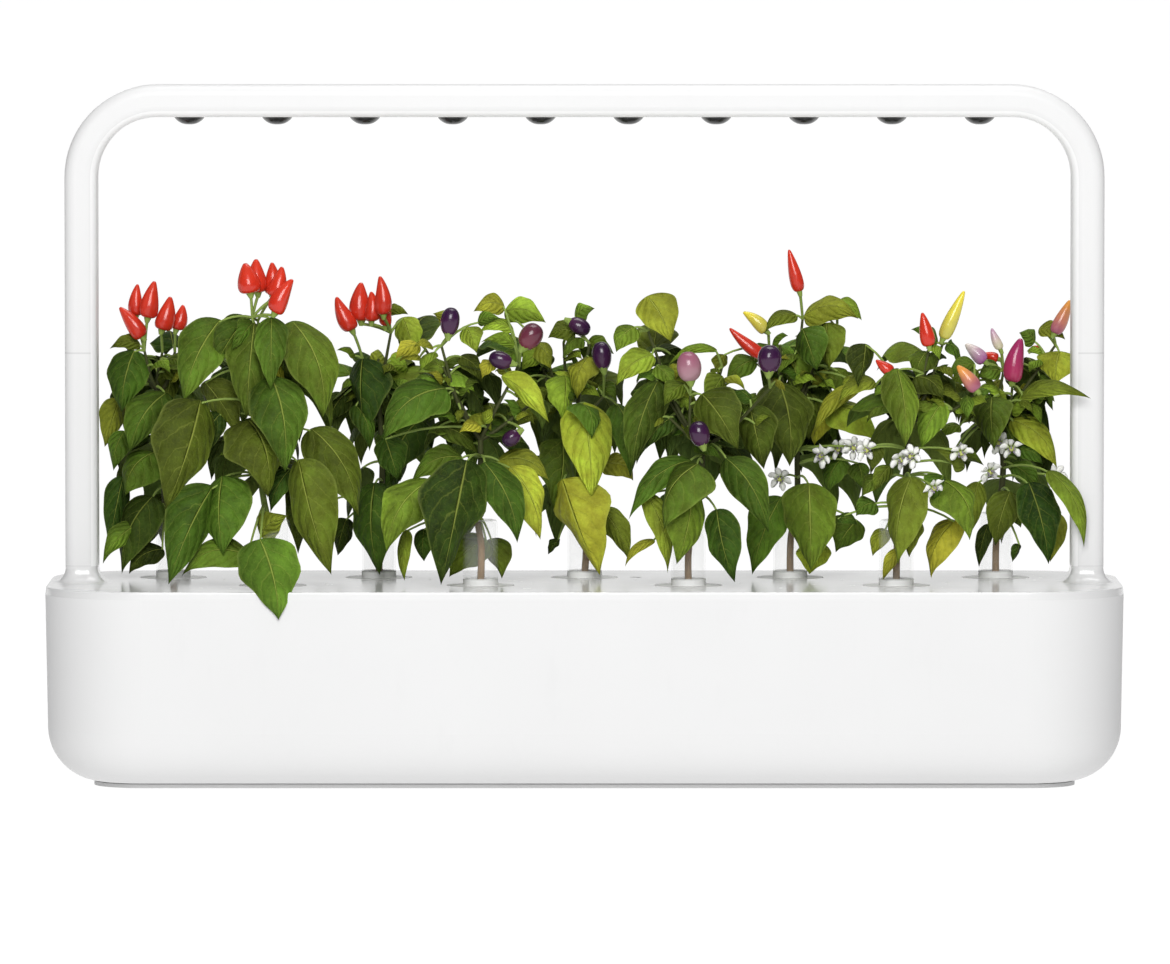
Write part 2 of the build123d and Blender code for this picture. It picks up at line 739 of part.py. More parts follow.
arch_path = FilletPolyline(
    (leg_x, 0, extension_top),
    (leg_x, 0, bar_z),
    (-leg_x, 0, bar_z),
    (-leg_x, 0, extension_top),
    radius=arch_radius,
)
strip_under = overall_height - leg_width
strip_inside = strip_under + leg_wall
board_under = strip_inside + lens_flange
lens_places = [((n - (lens_count - 1) / 2) * lens_pitch, 0) for n in range(lens_count)]
board_length = (lens_count - 1) * lens_pitch + 2 * board_end
screw_places = [
    ((n - (board_screw_count - 1) / 2) * 2 * lens_pitch, 0) for n in range(board_screw_count)
]

with BuildPart() as lamp_arch:
    sweep(leg_section(leg_plane(1, extension_top)), path=arch_path)
    for side in (-1, 1):
        add(leg_spigot(side, arch_foot, extension_top))

with BuildPart() as arch_strip:
    sweep(leg_section(leg_plane(1, extension_top), strip=True), path=arch_path)
    with BuildSketch(level(strip_under)):
        with Locations(*lens_places):
            Circle(lens_radius + fit)
    extrude(amount=leg_wall, mode=Mode.SUBTRACT)

chip_pocket_top = board_under - chip_height - seat_gap
lens_tip = strip_under - lens_drop

with BuildPart() as one_lens:
    with BuildSketch(upright_at((0, 0))):
        with BuildLine():
            Polyline(
                (0, lens_tip),
                (0, chip_pocket_top),
                (chip_pocket_radius, chip_pocket_top),
                (chip_pocket_radius, board_under),
                (lens_flange_radius, board_under),
                (lens_flange_radius, strip_inside),
                (lens_radius, strip_inside),
                (lens_radius, strip_under - lens_lip),
            )
            ThreePointArc(
                (lens_radius, strip_under - lens_lip),
                (lens_waist_radius, strip_under - lens_drop / 2),
                (lens_tip_radius, lens_tip),
            )
            Line((lens_tip_radius, lens_tip), (0, lens_tip))
        make_face()
    revolve(axis=Axis.Z)
    fillet(one_lens.edges().group_by(Axis.Z)[0], lens_lip)

with BuildPart() as led_lenses:
    with Locations(*lens_places):
        add(one_lens.part)

with BuildPart() as led_chips:
    with BuildSketch(level(board_under - chip_height)):
        with Locations(*lens_places):
            Rectangle(chip_size, chip_size)
    extrude(amount=chip_height)

with BuildPart() as led_board:
    with BuildSketch(level(board_under)):
        Rectangle(board_length, board_width)
        with Locations(*screw_places):
            Circle(screw_radius, mode=Mode.SUBTRACT)
    extrude(amount=board_thickness)

with BuildPart() as heat_spreader:
    with BuildSketch(level(board_under + board_thickness)):
        Rectangle(board_length, spreader_width)
        with Locations(*screw_places):
            Circle(screw_radius, mode=Mode.SUBTRACT)
    extrude(amount=spreader_base)
    with BuildSketch(level(board_under + board_thickness + spreader_base)):
        with GridLocations(0, (spreader_width - fin_width) / (fin_count - 1), 1, fin_count):
            Rectangle(board_length, fin_width)
        with Locations(*screw_places):
            Circle(2 * screw_radius)
            Circle(screw_radius, mode=Mode.SUBTRACT)
    extrude(amount=fin_height)

with BuildPart() as board_screws:
    with BuildSketch(level(board_under - screw_head_height)):
        with Locations(*screw_places):
            Circle(screw_head_radius)
    extrude(amount=screw_head_height)
    with BuildSketch(level(board_under)):
        with Locations(*screw_places):
            Circle(screw_radius)
    extrude(amount=board_thickness + spreader_base + fin_height)

with BuildPart() as arch_pads:
    extrude(contact_circles(arch_foot), amount=socket_floor)

lamp_lead_z = board_under + board_thickness / 2
lamp_lead_paths = [
    FilletPolyline(
        (leg_x, side * contact_spacing / 2, arch_foot + socket_floor),
        (leg_x, side * contact_spacing / 2, lamp_lead_z),
        (board_length / 2, side * contact_spacing / 2, lamp_lead_z),
        radius=lamp_lead_z - bar_z + arch_radius,
    )
    for side in (-1, 1)
]

with BuildPart() as lamp_leads:
    for path in lamp_lead_paths:
        add(tube_along(path, lead_radius))

# ---- Pods ----

flange_top = deck_top - cap_thickness
flange_under = flange_top - flange_thickness
cup_bottom = flange_under - cup_height
cup_slope = (cup_radius - cup_foot_radius) / cup_height
medium_bottom = cup_bottom + cup_wall + seat_gap
medium_top = flange_top - seat_gap


def pod_axis(place):
    """The vertical axis of a pod."""
    return Axis((place[0], place[1], 0), (0, 0, 1))


def pod_cup(place):
    """A tapered cup that hangs by its flange, with a hole for the wick and weep holes."""
    with BuildPart() as cup:
        with BuildSketch(upright_at(place)):
            with BuildLine():
                Polyline(
                    (wick_radius + drop_in_gap, cup_bottom),
                    (cup_foot_radius, cup_bottom),
                    (cup_radius, flange_under),
                    (cap_radius, flange_under),
                    (cap_radius, flange_top),
                    (cup_radius - cup_wall, flange_top),
                    (cup_foot_radius - cup_wall, cup_bottom + cup_wall),
                    (wick_radius + drop_in_gap, cup_bottom + cup_wall),
                    close=True,
                )
            make_face()
        revolve(axis=pod_axis(place))
        with BuildSketch(level(cup_bottom)):
            with Locations(place):
                with PolarLocations(weep_circle, weep_count):
                    Circle(weep_radius)
        extrude(amount=cup_wall, mode=Mode.SUBTRACT)
    return cup


def pod_medium(place):
    """The plug of growing medium, with the stem's hole above and the wick below."""
    bottom_radius = cup_foot_radius - cup_wall - drop_in_gap
    with BuildPart() as medium:
        with BuildSketch(upright_at(place)):
            with BuildLine():
                Polyline(
                    (0, cup_bottom - wick_reach),
                    (wick_radius, cup_bottom - wick_reach),
                    (wick_radius, medium_bottom),
                    (bottom_radius, medium_bottom),
                    (bottom_radius + cup_slope * (medium_top - medium_bottom), medium_top),
                    (stem_radius + seat_gap, medium_top),
                    (stem_radius + seat_gap, medium_top - rooting),
                    (0, medium_top - rooting),
                    close=True,
                )
            make_face()
        revolve(axis=pod_axis(place))
    return medium


def pod_sleeve(place):
    """The cap that closes the cup, with an upright tube that shields the stem."""
    inside = tube_radius - tube_wall
    tube_top = deck_top + tube_height
    arc_middle = tube_shoulder * (1 - cos(radians(45)))
    with BuildPart() as sleeve:
        with BuildSketch(upright_at(place)):
            with BuildLine():
                Polyline(
                    (inside, flange_top),
                    (cap_radius, flange_top),
                    (cap_radius, deck_top),
                    (tube_radius, deck_top),
                    (tube_radius, tube_top - tube_shoulder),
                )
                ThreePointArc(
                    (tube_radius, tube_top - tube_shoulder),
                    (tube_radius - arc_middle, tube_top - arc_middle),
                    (tube_radius - tube_shoulder, tube_top),
                )
                Polyline(
                    (tube_radius - tube_shoulder, tube_top),
                    (inside - tube_shoulder, tube_top),
                    (inside, tube_top - tube_shoulder),
                    (inside, flange_top),
                )
            make_face()
        revolve(axis=pod_axis(place))
    return sleeve


# ---- Plants ----


def tapered(start, end, start_radius, end_radius=None):
    """A round limb between two points, tapered where it has a second radius."""
    along = (Vector(*end) - Vector(*start)).normalized()
    end_radius = end_radius or start_radius
    with BuildPart() as limb:
        with BuildSketch(Plane(origin=start, z_dir=along)):
            Circle(start_radius)
        with BuildSketch(Plane(origin=end, z_dir=along)):
            Circle(end_radius)
        loft()
    return limb.part


def knot(middle, radius):
    """The swelling where limbs meet."""
    with BuildPart() as ball:
        with Locations(middle):
            Sphere(radius + knot_swell)
    return ball.part


def leaf(foot, tip, width):
    """A flat blade from its foot to its tip, with its face to the front."""
    along = (Vector(*tip) - Vector(*foot)).normalized()
    face = Vector(0, -1, leaf_nod)
    face = (face - along * face.dot(along)).normalized()
    length = (Vector(*tip) - Vector(*foot)).length
    widest = widest_share * length
    with BuildPart() as blade:
        with BuildSketch(Plane(origin=foot, x_dir=along, z_dir=face)):
            with BuildLine():
                ThreePointArc((0, 0), (widest, -width / 2), (length, 0))
                ThreePointArc((length, 0), (widest, width / 2), (0, 0))
            make_face()
        extrude(amount=leaf_thickness / 2, both=True)
    return blade.part


def fruit(base, along, length, radius):
    """A pointed or egg-shaped fruit on its stalk."""
    upright = Plane(origin=base, z_dir=along)
    tip = fruit_tip_share * radius
    with BuildPart() as pepper:
        with BuildSketch(Plane(origin=base, x_dir=upright.x_dir, z_dir=-upright.y_dir)):
            with BuildLine():
                Line((0, 0), (radius / 2, 0))
                ThreePointArc((radius / 2, 0), (radius, belly_share * length), (tip, length))
                Polyline((tip, length), (0, length), (0, 0))
            make_face()
        revolve(axis=Axis(base, along))
    return pepper.part


def plant(number, place):
    """A pepper plant: a stem that forks into branches, with its larger leaves and its fruit."""
    x, y = place
    row = 1 if y > 0 else -1
    right = min(x + pod_pitch - neighbour_gap, leg_x - leg_width / 2 - leg_gap)
    left = max(x - pod_pitch + neighbour_gap, leg_width / 2 + leg_gap - leg_x)
    inner, outer = neighbour_gap, overall_depth / 2 - edge_gap
    root = (x, y, medium_top - rooting + seat_gap)

    def spot(across, height, behind, margin=0.0):
        """A point of this plant, inside the space it has between its neighbours."""
        px = min(max(x + across, left + margin), right - margin)
        py = row * min(max(row * (y + behind), inner), outer)
        hang = root[2] + hang_slope * ((px - x) ** 2 + (py - y) ** 2) ** 0.5
        return (px, py, max(deck_top + height, deck_top + deck_gap, hang))

    def between(start, end, part):
        return tuple(s + part * (e - s) for s, e in zip(start, end))

    neck = (x, y, deck_top + tube_height)
    fork = spot(*forks[number], 0)
    tips = [spot(*branch_end) for branch_end in branch_ends[number]]
    joints = [between(neck, fork, n / 4) for n in range(1, 5)]
    joints += [between(fork, tip, n / 3) for tip in tips for n in range(1, 4)]

    def joint_near(point):
        return min(joints, key=lambda joint: (Vector(*joint) - Vector(*point)).length)

    limbs = [
        tapered(root, neck, stem_radius),
        knot(neck, stem_radius),
        tapered(neck, fork, stem_radius, branch_radius),
        knot(fork, branch_radius),
    ]
    limbs += [tapered(fork, tip, branch_radius, branch_radius / 2) for tip in tips]
    for foot_x, foot_z, tip_x, tip_z, width, behind in main_leaves[number]:
        lean = abs(tip_z - foot_z) / (abs(tip_z - foot_z) + abs(tip_x - foot_x))
        margin = width / 2 * lean
        foot_behind = leaf_foot_share * behind
        if tip_z < tube_height and min(abs(foot_x), abs(tip_x)) < tube_radius + width / 2:
            side = 1 if behind > 0 else -1
            behind = foot_behind = side * max(abs(behind), tube_radius + tube_gap)
        foot = spot(foot_x, foot_z, foot_behind, margin)
        tip = spot(tip_x, tip_z, behind, margin)
        length = (Vector(*tip) - Vector(*foot)).length
        limbs.append(leaf(foot, tip, width))
        limbs.append(tapered(joint_near(foot), between(foot, tip, stalk_root / length), stalk_radius))
    for foot_x, foot_z, tip_x, tip_z, width, behind in fruits[number]:
        foot = spot(foot_x, foot_z, behind, width / 2)
        tip = spot(tip_x, tip_z, behind, width / 2)
        along = (Vector(*tip) - Vector(*foot)).normalized()
        length = (Vector(*tip) - Vector(*foot)).length
        limbs.append(fruit(foot, along, length, width / 2))
        limbs.append(tapered(joint_near(foot), between(foot, tip, stalk_root / length), stalk_radius))
    with BuildPart() as whole:
        add(limbs)
    return whole


for name, builder in {
    "tank_shell": tank_shell,
    "foot_plate": foot_plate,
    "rubber_feet": rubber_feet,
    "lid": lid,
    "dry_box_cover": dry_box_cover,
    "cover_screws": cover_screws,
    "power_inlet": power_inlet,
    "timer_board": timer_board,
    "lid_leads": lid_leads,
    "lid_pins": lid_pins,
    "water_float": water_float,
    "left_extension": left_extension,
    "right_extension": right_extension,
    "extension_strips": extension_strips,
    "extension_rods": extension_rods,
    "lamp_arch": lamp_arch,
    "arch_strip": arch_strip,
    "arch_pads": arch_pads,
    "lamp_leads": lamp_leads,
    "led_lenses": led_lenses,
    "led_chips": led_chips,
    "led_board": led_board,
    "heat_spreader": heat_spreader,
    "board_screws": board_screws,
}.items():
    save(builder, name)

for number, place in enumerate(pod_places):
    save(pod_cup(place), f"pod_{number + 1}_cup")
    save(pod_medium(place), f"pod_{number + 1}_medium")
    save(pod_sleeve(place), f"pod_{number + 1}_sleeve")
    save(plant(number, place), f"pod_{number + 1}_plant")
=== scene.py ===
import math
import random

import bmesh
import bpy
from bpy.props import FloatProperty, FloatVectorProperty, IntProperty, PointerProperty
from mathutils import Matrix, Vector, noise


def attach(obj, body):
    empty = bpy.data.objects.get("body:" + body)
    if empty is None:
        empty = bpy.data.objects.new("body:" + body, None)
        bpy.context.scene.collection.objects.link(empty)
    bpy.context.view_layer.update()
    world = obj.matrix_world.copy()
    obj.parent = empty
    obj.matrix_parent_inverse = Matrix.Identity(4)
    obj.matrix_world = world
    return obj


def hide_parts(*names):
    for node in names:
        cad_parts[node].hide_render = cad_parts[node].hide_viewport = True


bl_info = {
    "name": "Countertop Hydroponic Garden",
    "version": (1, 0, 0),
    "blender": (4, 5, 0),
    "location": "3D View > Sidebar > Garden",
    "description": "Finishes the mouldings, lamp, pods and plants of a countertop garden",
    "category": "Object",
}

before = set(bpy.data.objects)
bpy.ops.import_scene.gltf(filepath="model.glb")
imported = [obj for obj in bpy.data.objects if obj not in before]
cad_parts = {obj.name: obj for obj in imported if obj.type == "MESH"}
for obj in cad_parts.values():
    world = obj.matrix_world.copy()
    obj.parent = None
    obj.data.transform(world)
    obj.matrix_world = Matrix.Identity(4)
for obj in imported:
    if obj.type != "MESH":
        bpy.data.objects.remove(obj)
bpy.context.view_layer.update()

MM = 0.001
PODS = range(1, 10)

# Places on the object, in millimetres.
pod_pitch, row_offset = 59.0, 33.0
collar_top, tube_top, extension_top = 123.0, 151.0, 244.5
lens_count, lens_pitch, lens_turns = 10, 50.0, 36
# Radius and height along a lens dome, from its lowest point outward.
LENS_PROFILE = ((0, 374.2), (2.2, 374.3), (4.0, 374.7), (5.5, 375.4), (6.7, 376.2), (7.6, 377.0),
                (8.3, 377.8), (8.6, 378.5))

# Where the growth has to stay, in metres. Sides count from the middle, and y grows to the rear.
front_limit, rear_limit = -0.0972, 0.094
leg_side, collar_side, rear_leaf_side, young_leaf_side = 0.2755, 0.266, 0.268, 0.270
above_deck, above_collar = 0.1160, 0.1225
rear_leaf_low, rear_leaf_high, rear_leaf_back = 0.120, 0.246, 0.088
# How far in front of its stem a leaf's tip stands when it hangs over the rim, and how far from the
# stem a leaf beside a tube stands, in millimetres.
over_rim, clear_of_tube = -50, 13.0

# The growing medium's surface: the longest edge that isn't cut, how often it's cut and the pits' scale.
longest_crumb, crumb_cuts, crumb_scale = 0.0032, 4, 900.0
# Powers of a blade's outline at its foot and at its tip.
leaf_outline, petal_outline = (0.52, 1.22), (0.7, 0.6)

# Heights on a stem, in metres.
stem_foot, stem_in_tube, lowest_stalk, lowest_rear_stalk = 0.112, 0.136, 0.153, 0.165

# Heights between which a finish changes, in metres.
cap_top, tube_rim, bark_top = (0.1162, 0.1180), (0.1498, 0.1506), (0.128, 0.160)

# First seed of each kind of draw. A plant adds its own number.
BRANCH_SEED, BLADE_SEED, FRUIT_SEED, FLOWER_SEED, PLACE_SEED = 40, 300, 500, 700, 900

# Every leaf of a plant: base X, base Z, tip X, tip Z, width, brightness from 0 to 100 as the leaf is lit,
# which paints light and shade along with its own tone, and how far the tip stands behind its stem.
# Millimetres, and so below.
LEAVES = {
    1: (
        (-258, 243, -265, 209, 22, 25, -14), (-255, 247, -272, 245, 8, 45, -8),
        (-267, 215, -279, 188, 13, 62, 4), (-240, 219, -260, 186, 23, 30, -20),
        (-247, 185, -263, 161, 21, 38, -16), (-264, 197, -270, 175, 12, 38, -6),
        (-265, 170, -273, 127, 13, 12, -2), (-255, 144, -278, 112, 12, 58, -24),
        (-248, 159, -265, 115, 21, 10, -14), (-242, 130, -261, 116, 12, 8, -8),
        (-242, 159, -253, 128, 19, 14, 6), (-237, 232, -242, 208, 11, 30, 8),
    ),
    2: (
        (-218, 217, -237, 158, 31, 28, -26), (-207, 263, -227, 218, 25, 44, -14),
        (-192, 265, -211, 234, 17, 31, -6), (-187, 261, -191, 209, 24, 27, -22),
        (-177, 265, -177, 225, 17, 37, -28), (-165, 262, -148, 209, 26, 43, -18),
        (-177, 231, -169, 179, 29, 30, -34), (-190, 207, -179, 165, 31, 34, -30),
        (-215, 228, -196, 198, 17, 28, 2), (-207, 210, -222, 181, 15, 8, 6),
        (-161, 184, -143, 121, 25, 44, -26), (-154, 201, -128, 153, 24, 33, -12),
        (-211, 169, -235, 116, 24, 28, -34), (-205, 175, -204, 132, 26, 41, -28),
        (-191, 131, -228, 120, 16, 53, -20), (-182, 142, -172, 98, 31, 50, -62),
        (-183, 142, -168, 154, 14, 61, -14), (-167, 179, -178, 155, 11, 14, -8),
        (-183, 201, -178, 170, 14, 49, 0), (-160, 175, -163, 130, 16, 12, 2),
        (-160, 247, -170, 234, 7, 30, -4), (-188, 263, -200, 248, 10, 38, -20),
    ),
    3: (
        (-127, 238, -125, 196, 21, 10, -16), (-138, 218, -146, 202, 13, 6, 4),
        (-120, 167, -117, 112, 25, 22, -22), (-95, 203, -111, 167, 20, 16, -6),
        (-104, 262, -97, 239, 14, 78, -4), (-102, 234, -117, 231, 11, 74, 0),
        (-146, 157, -154, 126, 14, 10, 10), (-113, 197, -106, 168, 13, 14, 0),
        (-131, 212, -123, 187, 10, 24, -20), (-113, 266, -101, 264, 6, 55, 6),
        (-137, 146, -142, 125, 11, 12, 12), (-108, 187, -113, 157, 14, 16, 8),
    ),
    4: (
        (-80, 225, -114, 197, 23, 34, -22), (-87, 173, -112, 134, 24, 60, -30),
        (-67, 184, -81, 113, 32, 8, -38), (-56, 183, -38, 139, 20, 24, -24),
        (-41, 180, -25, 140, 20, 92, -10), (-70, 186, -98, 173, 15, 40, -14),
        (-46, 272, -63, 269, 11, 72, -4), (-73, 259, -86, 268, 11, 66, -4),
        (-67, 260, -61, 246, 12, 70, -18), (-60, 263, -47, 265, 7, 56, -8),
        (-41, 259, -60, 257, 7, 88, -4), (-40, 250, -59, 252, 7, 74, -12), (-52, 241, -58, 231, 8, 86, -8),
        (-46, 232, -20, 207, 12, 94, -22), (-101, 144, -102, 113, 7, 66, -4),
        (-56, 137, -77, 117, 18, 60, 14), (-53, 138, -47, 114, 14, 50, 16),
        (-91, 145, -91, 127, 11, 24, -2), (-83, 203, -60, 187, 12, 26, 8), (-70, 243, -58, 228, 9, 20, 4),
        (-59, 204, -71, 201, 7, 84, -16), (-56, 206, -52, 215, 6, 80, -14),
        (-48, 184, -20, 173, 14, 62, -2), (-113, 196, -106, 173, 17, 18, 6),
        (-94, 250, -107, 242, 9, 84, -6), (-38, 246, -46, 237, 8, 60, 4),
    ),
    5: (
        (-45, 266, -22, 260, 14, 80, -10), (-1, 213, 4, 160, 26, 96, -30), (-12, 169, 9, 115, 26, 88, -26),
        (-13, 192, -18, 153, 21, 28, -14), (-11, 229, -13, 205, 16, 82, -18),
        (-3, 214, 4, 195, 15, 46, -36), (-6, 254, -21, 251, 11, 42, -6), (-5, 262, 6, 268, 9, 64, -4),
        (2, 248, 17, 242, 9, 52, -8), (-15, 213, -51, 193, 14, 56, 10), (19, 212, 26, 171, 14, 26, -8),
        (10, 153, 25, 124, 14, 54, -6), (11, 178, 28, 168, 12, 70, 12), (2, 240, -4, 217, 14, 68, -20),
        (-24, 244, -36, 233, 12, 78, -8), (-27, 248, -19, 233, 11, 58, -12),
        (-15, 135, -21, 126, 5, 14, 8), (-33, 228, -42, 221, 9, 66, 0), (8, 223, 19, 214, 9, 36, -14),
    ),
    6: (
        (63, 183, 45, 147, 21, 26, -34), (61, 168, 52, 127, 20, 58, -26), (35, 165, 47, 121, 12, 68, -8),
        (59, 184, 25, 152, 14, 38, -20), (36, 277, 49, 252, 21, 70, -8), (28, 260, 18, 246, 12, 62, -4),
        (74, 247, 47, 238, 5, 68, -6), (41, 228, 27, 180, 20, 18, -12), (38, 244, 18, 227, 14, 80, -2),
        (56, 228, 45, 216, 11, 52, -16), (67, 222, 87, 192, 24, 22, -30), (39, 139, 23, 124, 5, 84, -4),
        (75, 157, 85, 117, 18, 16, -30), (81, 185, 104, 145, 20, 26, -26), (94, 214, 102, 179, 20, 20, 6),
        (48, 232, 60, 218, 11, 70, -2), (78, 232, 69, 217, 12, 50, -8), (41, 238, 50, 225, 9, 58, -8),
        (69, 175, 64, 158, 11, 30, 8), (50, 209, 35, 191, 12, 14, -4),
    ),
    7: (
        (111, 225, 117, 179, 29, 18, -34), (125, 256, 133, 233, 18, 28, -20),
        (127, 264, 157, 262, 14, 66, -6), (121, 264, 103, 254, 8, 52, -4),
        (139, 259, 140, 233, 17, 50, -8), (121, 242, 123, 219, 14, 48, -4),
        (128, 218, 129, 192, 12, 36, 2), (128, 168, 129, 120, 28, 54, -38),
        (112, 159, 96, 112, 20, 48, -16), (133, 134, 129, 109, 17, 100, -12),
        (147, 181, 140, 162, 12, 34, 0), (156, 146, 144, 128, 18, 34, -6),
        (142, 211, 169, 189, 17, 88, -8), (157, 224, 131, 195, 9, 72, -16), (97, 238, 81, 223, 12, 44, 0),
        (157, 179, 159, 165, 11, 36, -4), (145, 271, 159, 261, 9, 74, -2),
        (145, 232, 151, 217, 14, 38, -4), (80, 241, 77, 229, 8, 60, 2), (138, 207, 132, 189, 11, 95, 6),
    ),
    8: (
        (177, 236, 181, 193, 18, 52, -26), (184, 175, 177, 127, 21, 50, -32),
        (159, 250, 155, 226, 14, 12, -8), (203, 217, 191, 191, 15, 66, -4),
        (203, 173, 218, 140, 20, 62, -18), (165, 160, 154, 153, 11, 38, -4),
        (210, 149, 197, 117, 15, 86, 4), (171, 144, 164, 129, 9, 72, 2), (178, 134, 169, 117, 7, 74, -8),
        (165, 193, 163, 178, 9, 22, -6), (188, 232, 203, 220, 12, 24, -12),
        (221, 239, 206, 232, 9, 44, -2), (203, 176, 197, 163, 14, 40, -20),
        (167, 175, 157, 164, 9, 34, -8), (188, 151, 184, 130, 9, 58, -4), (164, 229, 144, 217, 9, 62, 2),
        (194, 246, 188, 232, 14, 34, -6), (215, 181, 198, 191, 9, 26, -10),
        (173, 181, 164, 167, 9, 48, -10), (144, 151, 155, 147, 6, 22, 2),
    ),
    9: (
        (233, 217, 234, 188, 20, 22, -30), (246, 203, 271, 176, 15, 82, -4),
        (250, 219, 288, 219, 9, 56, -58), (272, 243, 270, 225, 21, 84, -8),
        (254, 168, 265, 123, 21, 6, -32), (243, 163, 235, 133, 17, 28, -22),
        (265, 176, 284, 134, 11, 60, -56), (272, 149, 267, 117, 13, 64, -6),
        (258, 249, 249, 254, 9, 54, -2), (225, 168, 220, 137, 12, 58, -2),
        (219, 223, 227, 202, 11, 34, -2), (231, 144, 226, 120, 8, 8, -6), (249, 187, 263, 178, 9, 30, -6),
        (225, 232, 211, 223, 11, 50, -2), (238, 232, 225, 229, 11, 44, -12),
        (261, 256, 278, 250, 9, 62, -4), (246, 178, 261, 163, 11, 34, -12), (227, 210, 215, 201, 9, 40, 2),
        (246, 150, 251, 141, 6, 40, 4), (261, 229, 269, 209, 6, 20, 4), (211, 184, 229, 178, 8, 28, -8),
        (249, 133, 245, 123, 5, 10, -2),
    ),
}
# Every fruit: stalk end X, Z, tip X, Z, width, kind, and how far behind its stem.
FRUIT = {
    1: (
        (-253, 252, -266, 269, 9.5, "r", -10), (-257, 264, -256, 282, 8.2, "r", -4),
        (-250, 263, -246, 284, 10.5, "r", -10), (-242, 256, -237, 275, 10.8, "r", -8),
        (-234, 256, -230, 270, 8.6, "r", -2),
    ),
    2: (
        (-189, 280, -192, 297, 12.7, "r", -14), (-185, 280, -186, 299, 11.4, "r", -6),
        (-177, 279, -177, 297, 9.5, "r", -4), (-176, 278, -171, 295, 9.8, "r", -14),
        (-175, 269, -165, 288, 10.5, "r", -18),
    ),
    3: (
        (-133, 256, -142, 275, 9.8, "r", -12), (-128, 261, -128, 283, 12.4, "r", -4),
        (-122, 261, -122, 278, 8.9, "r", -10), (-115, 265, -117, 287, 9.5, "r", -14),
        (-114, 258, -112, 276, 7.3, "r", -4),
    ),
    4: (
        (-77, 256, -75, 272, 11.1, "e", -16), (-41, 240, -54, 244, 10.2, "e", -12),
        (-35, 249, -26, 262, 13.2, "b", -14), (-37, 201, -46, 194, 9.3, "e", -8),
    ),
    5: (
        (-9, 261, 3, 255, 9.9, "e", -10), (11, 234, 9, 250, 11.4, "e", -26),
    ),
    6: (
        (60, 230, 58, 247, 14.4, "m", -16), (67, 194, 63, 208, 12, "e", -26),
        (104, 235, 105, 251, 13.8, "e", -22),
    ),
    7: (
        (123, 278, 117, 302, 7.5, "r", -8), (104, 255, 91, 266, 7.8, "y", -2),
        (102, 241, 83, 257, 7.5, "r", -10),
    ),
    8: (
        (195, 250, 191, 269, 8.1, "r", -14), (203, 254, 215, 281, 8.1, "y", -8),
        (174, 235, 165, 242, 6.6, "r", -12), (222, 225, 211, 239, 8.7, "o", -14),
    ),
    9: (
        (229, 238, 218, 248, 8.1, "p", -12), (238, 245, 233, 257, 5.4, "w", -10),
        (245, 226, 250, 251, 11.4, "g", -6), (237, 239, 228, 242, 6, "r", -2),
        (269, 254, 278, 273, 8.1, "o", -8), (257, 244, 261, 246, 3.9, "r", 0),
    ),
}
# Open flowers: X, Z, and how far behind the stem.
FLOWERS = {
    7: ((136, 184, -14), (154, 189, -20), (112, 171, -16), (145, 188, -8)),
    8: ((185, 188, -24), (197, 171, -30), (213, 190, -16), (179, 186, -14), (159, 191, -12)),
    9: ((244, 189, -22), (270, 172, -8), (232, 175, -12), (238, 191, -10), (213, 185, -10)),
}
# Each stem: the points it bends through, its fork, and the ends of its branches.
STEMS = {
    1: (((-240, 148), (-242, 186)), (-243, 220),
        ((-252, 244, -8), (-242, 243, 0), (-235, 243, 4), (-258, 237, 8))),
    2: (((-183, 168), (-183, 199)), (-183, 234),
        ((-185, 264, -4), (-198, 243, 4), (-167, 257, 4), (-188, 266, -10))),
    3: (((-116, 180),), (-118, 218),
        ((-127, 239, -6), (-118, 239, 0), (-108, 234, 6), (-111, 254, -2))),
    4: (((-61, 154), (-59, 182)), (-59, 196),
        ((-80, 238, -6), (-90, 247, 4), (-37, 238, -4), (-28, 218, 6), (-81, 250, -10))),
    5: (((-8, 163), (-9, 175)), (-5, 200),
        ((-12, 248, 4), (11, 218, -10), (-24, 234, 8), (3, 248, -6), (-21, 239, -8))),
    6: (((66, 173),), (67, 191),
        ((48, 209, -4), (41, 230, 2), (36, 258, 2), (105, 226, -8), (60, 222, -10), (78, 237, 4))),
    7: (((122, 156), (122, 186)), (122, 211),
        ((125, 262, -2), (133, 235, 4), (106, 244, 4), (112, 247, -8), (145, 257, 4))),
    8: (((179, 153), (182, 175)), (184, 207),
        ((195, 247, -6), (203, 250, 2), (175, 232, 4), (165, 226, 8), (221, 222, -4))),
    9: (((240, 171), (240, 186)), (241, 201),
        ((219, 208, 0), (240, 232, -4), (231, 232, 4), (270, 247, -2), (255, 222, 4), (245, 223, -8))),
}
# Each kind of fruit: its colour at the shoulder and at the end, and its roundness, from 0 for a
# pepper to 1 for an egg.
RIPE = {
    "r": ((0.54, 0.026, 0.012), (0.58, 0.036, 0.014), 0.10),
    "e": ((0.055, 0.012, 0.050), (0.026, 0.006, 0.034), 0.95),
    "m": ((0.38, 0.22, 0.25), (0.28, 0.085, 0.14), 0.85),
    "b": ((0.16, 0.030, 0.050), (0.085, 0.018, 0.035), 0.95),
    "y": ((0.50, 0.46, 0.08), (0.74, 0.62, 0.05), 0.15),
    "o": ((0.35, 0.10, 0.16), (0.72, 0.30, 0.05), 0.20),
    "g": ((0.42, 0.035, 0.11), (0.30, 0.020, 0.10), 0.25),
    "w": ((0.66, 0.62, 0.42), (0.50, 0.30, 0.42), 0.20),
    "p": ((0.36, 0.10, 0.30), (0.74, 0.66, 0.60), 0.20),
}
# The same two colours for the outer and the middle beads of a flower.
anther_tones = (0.30, 0.30, 0.24), (0.26, 0.22, 0.30)
heart_tones = (0.35, 0.45, 0.10), (0.55, 0.58, 0.16)

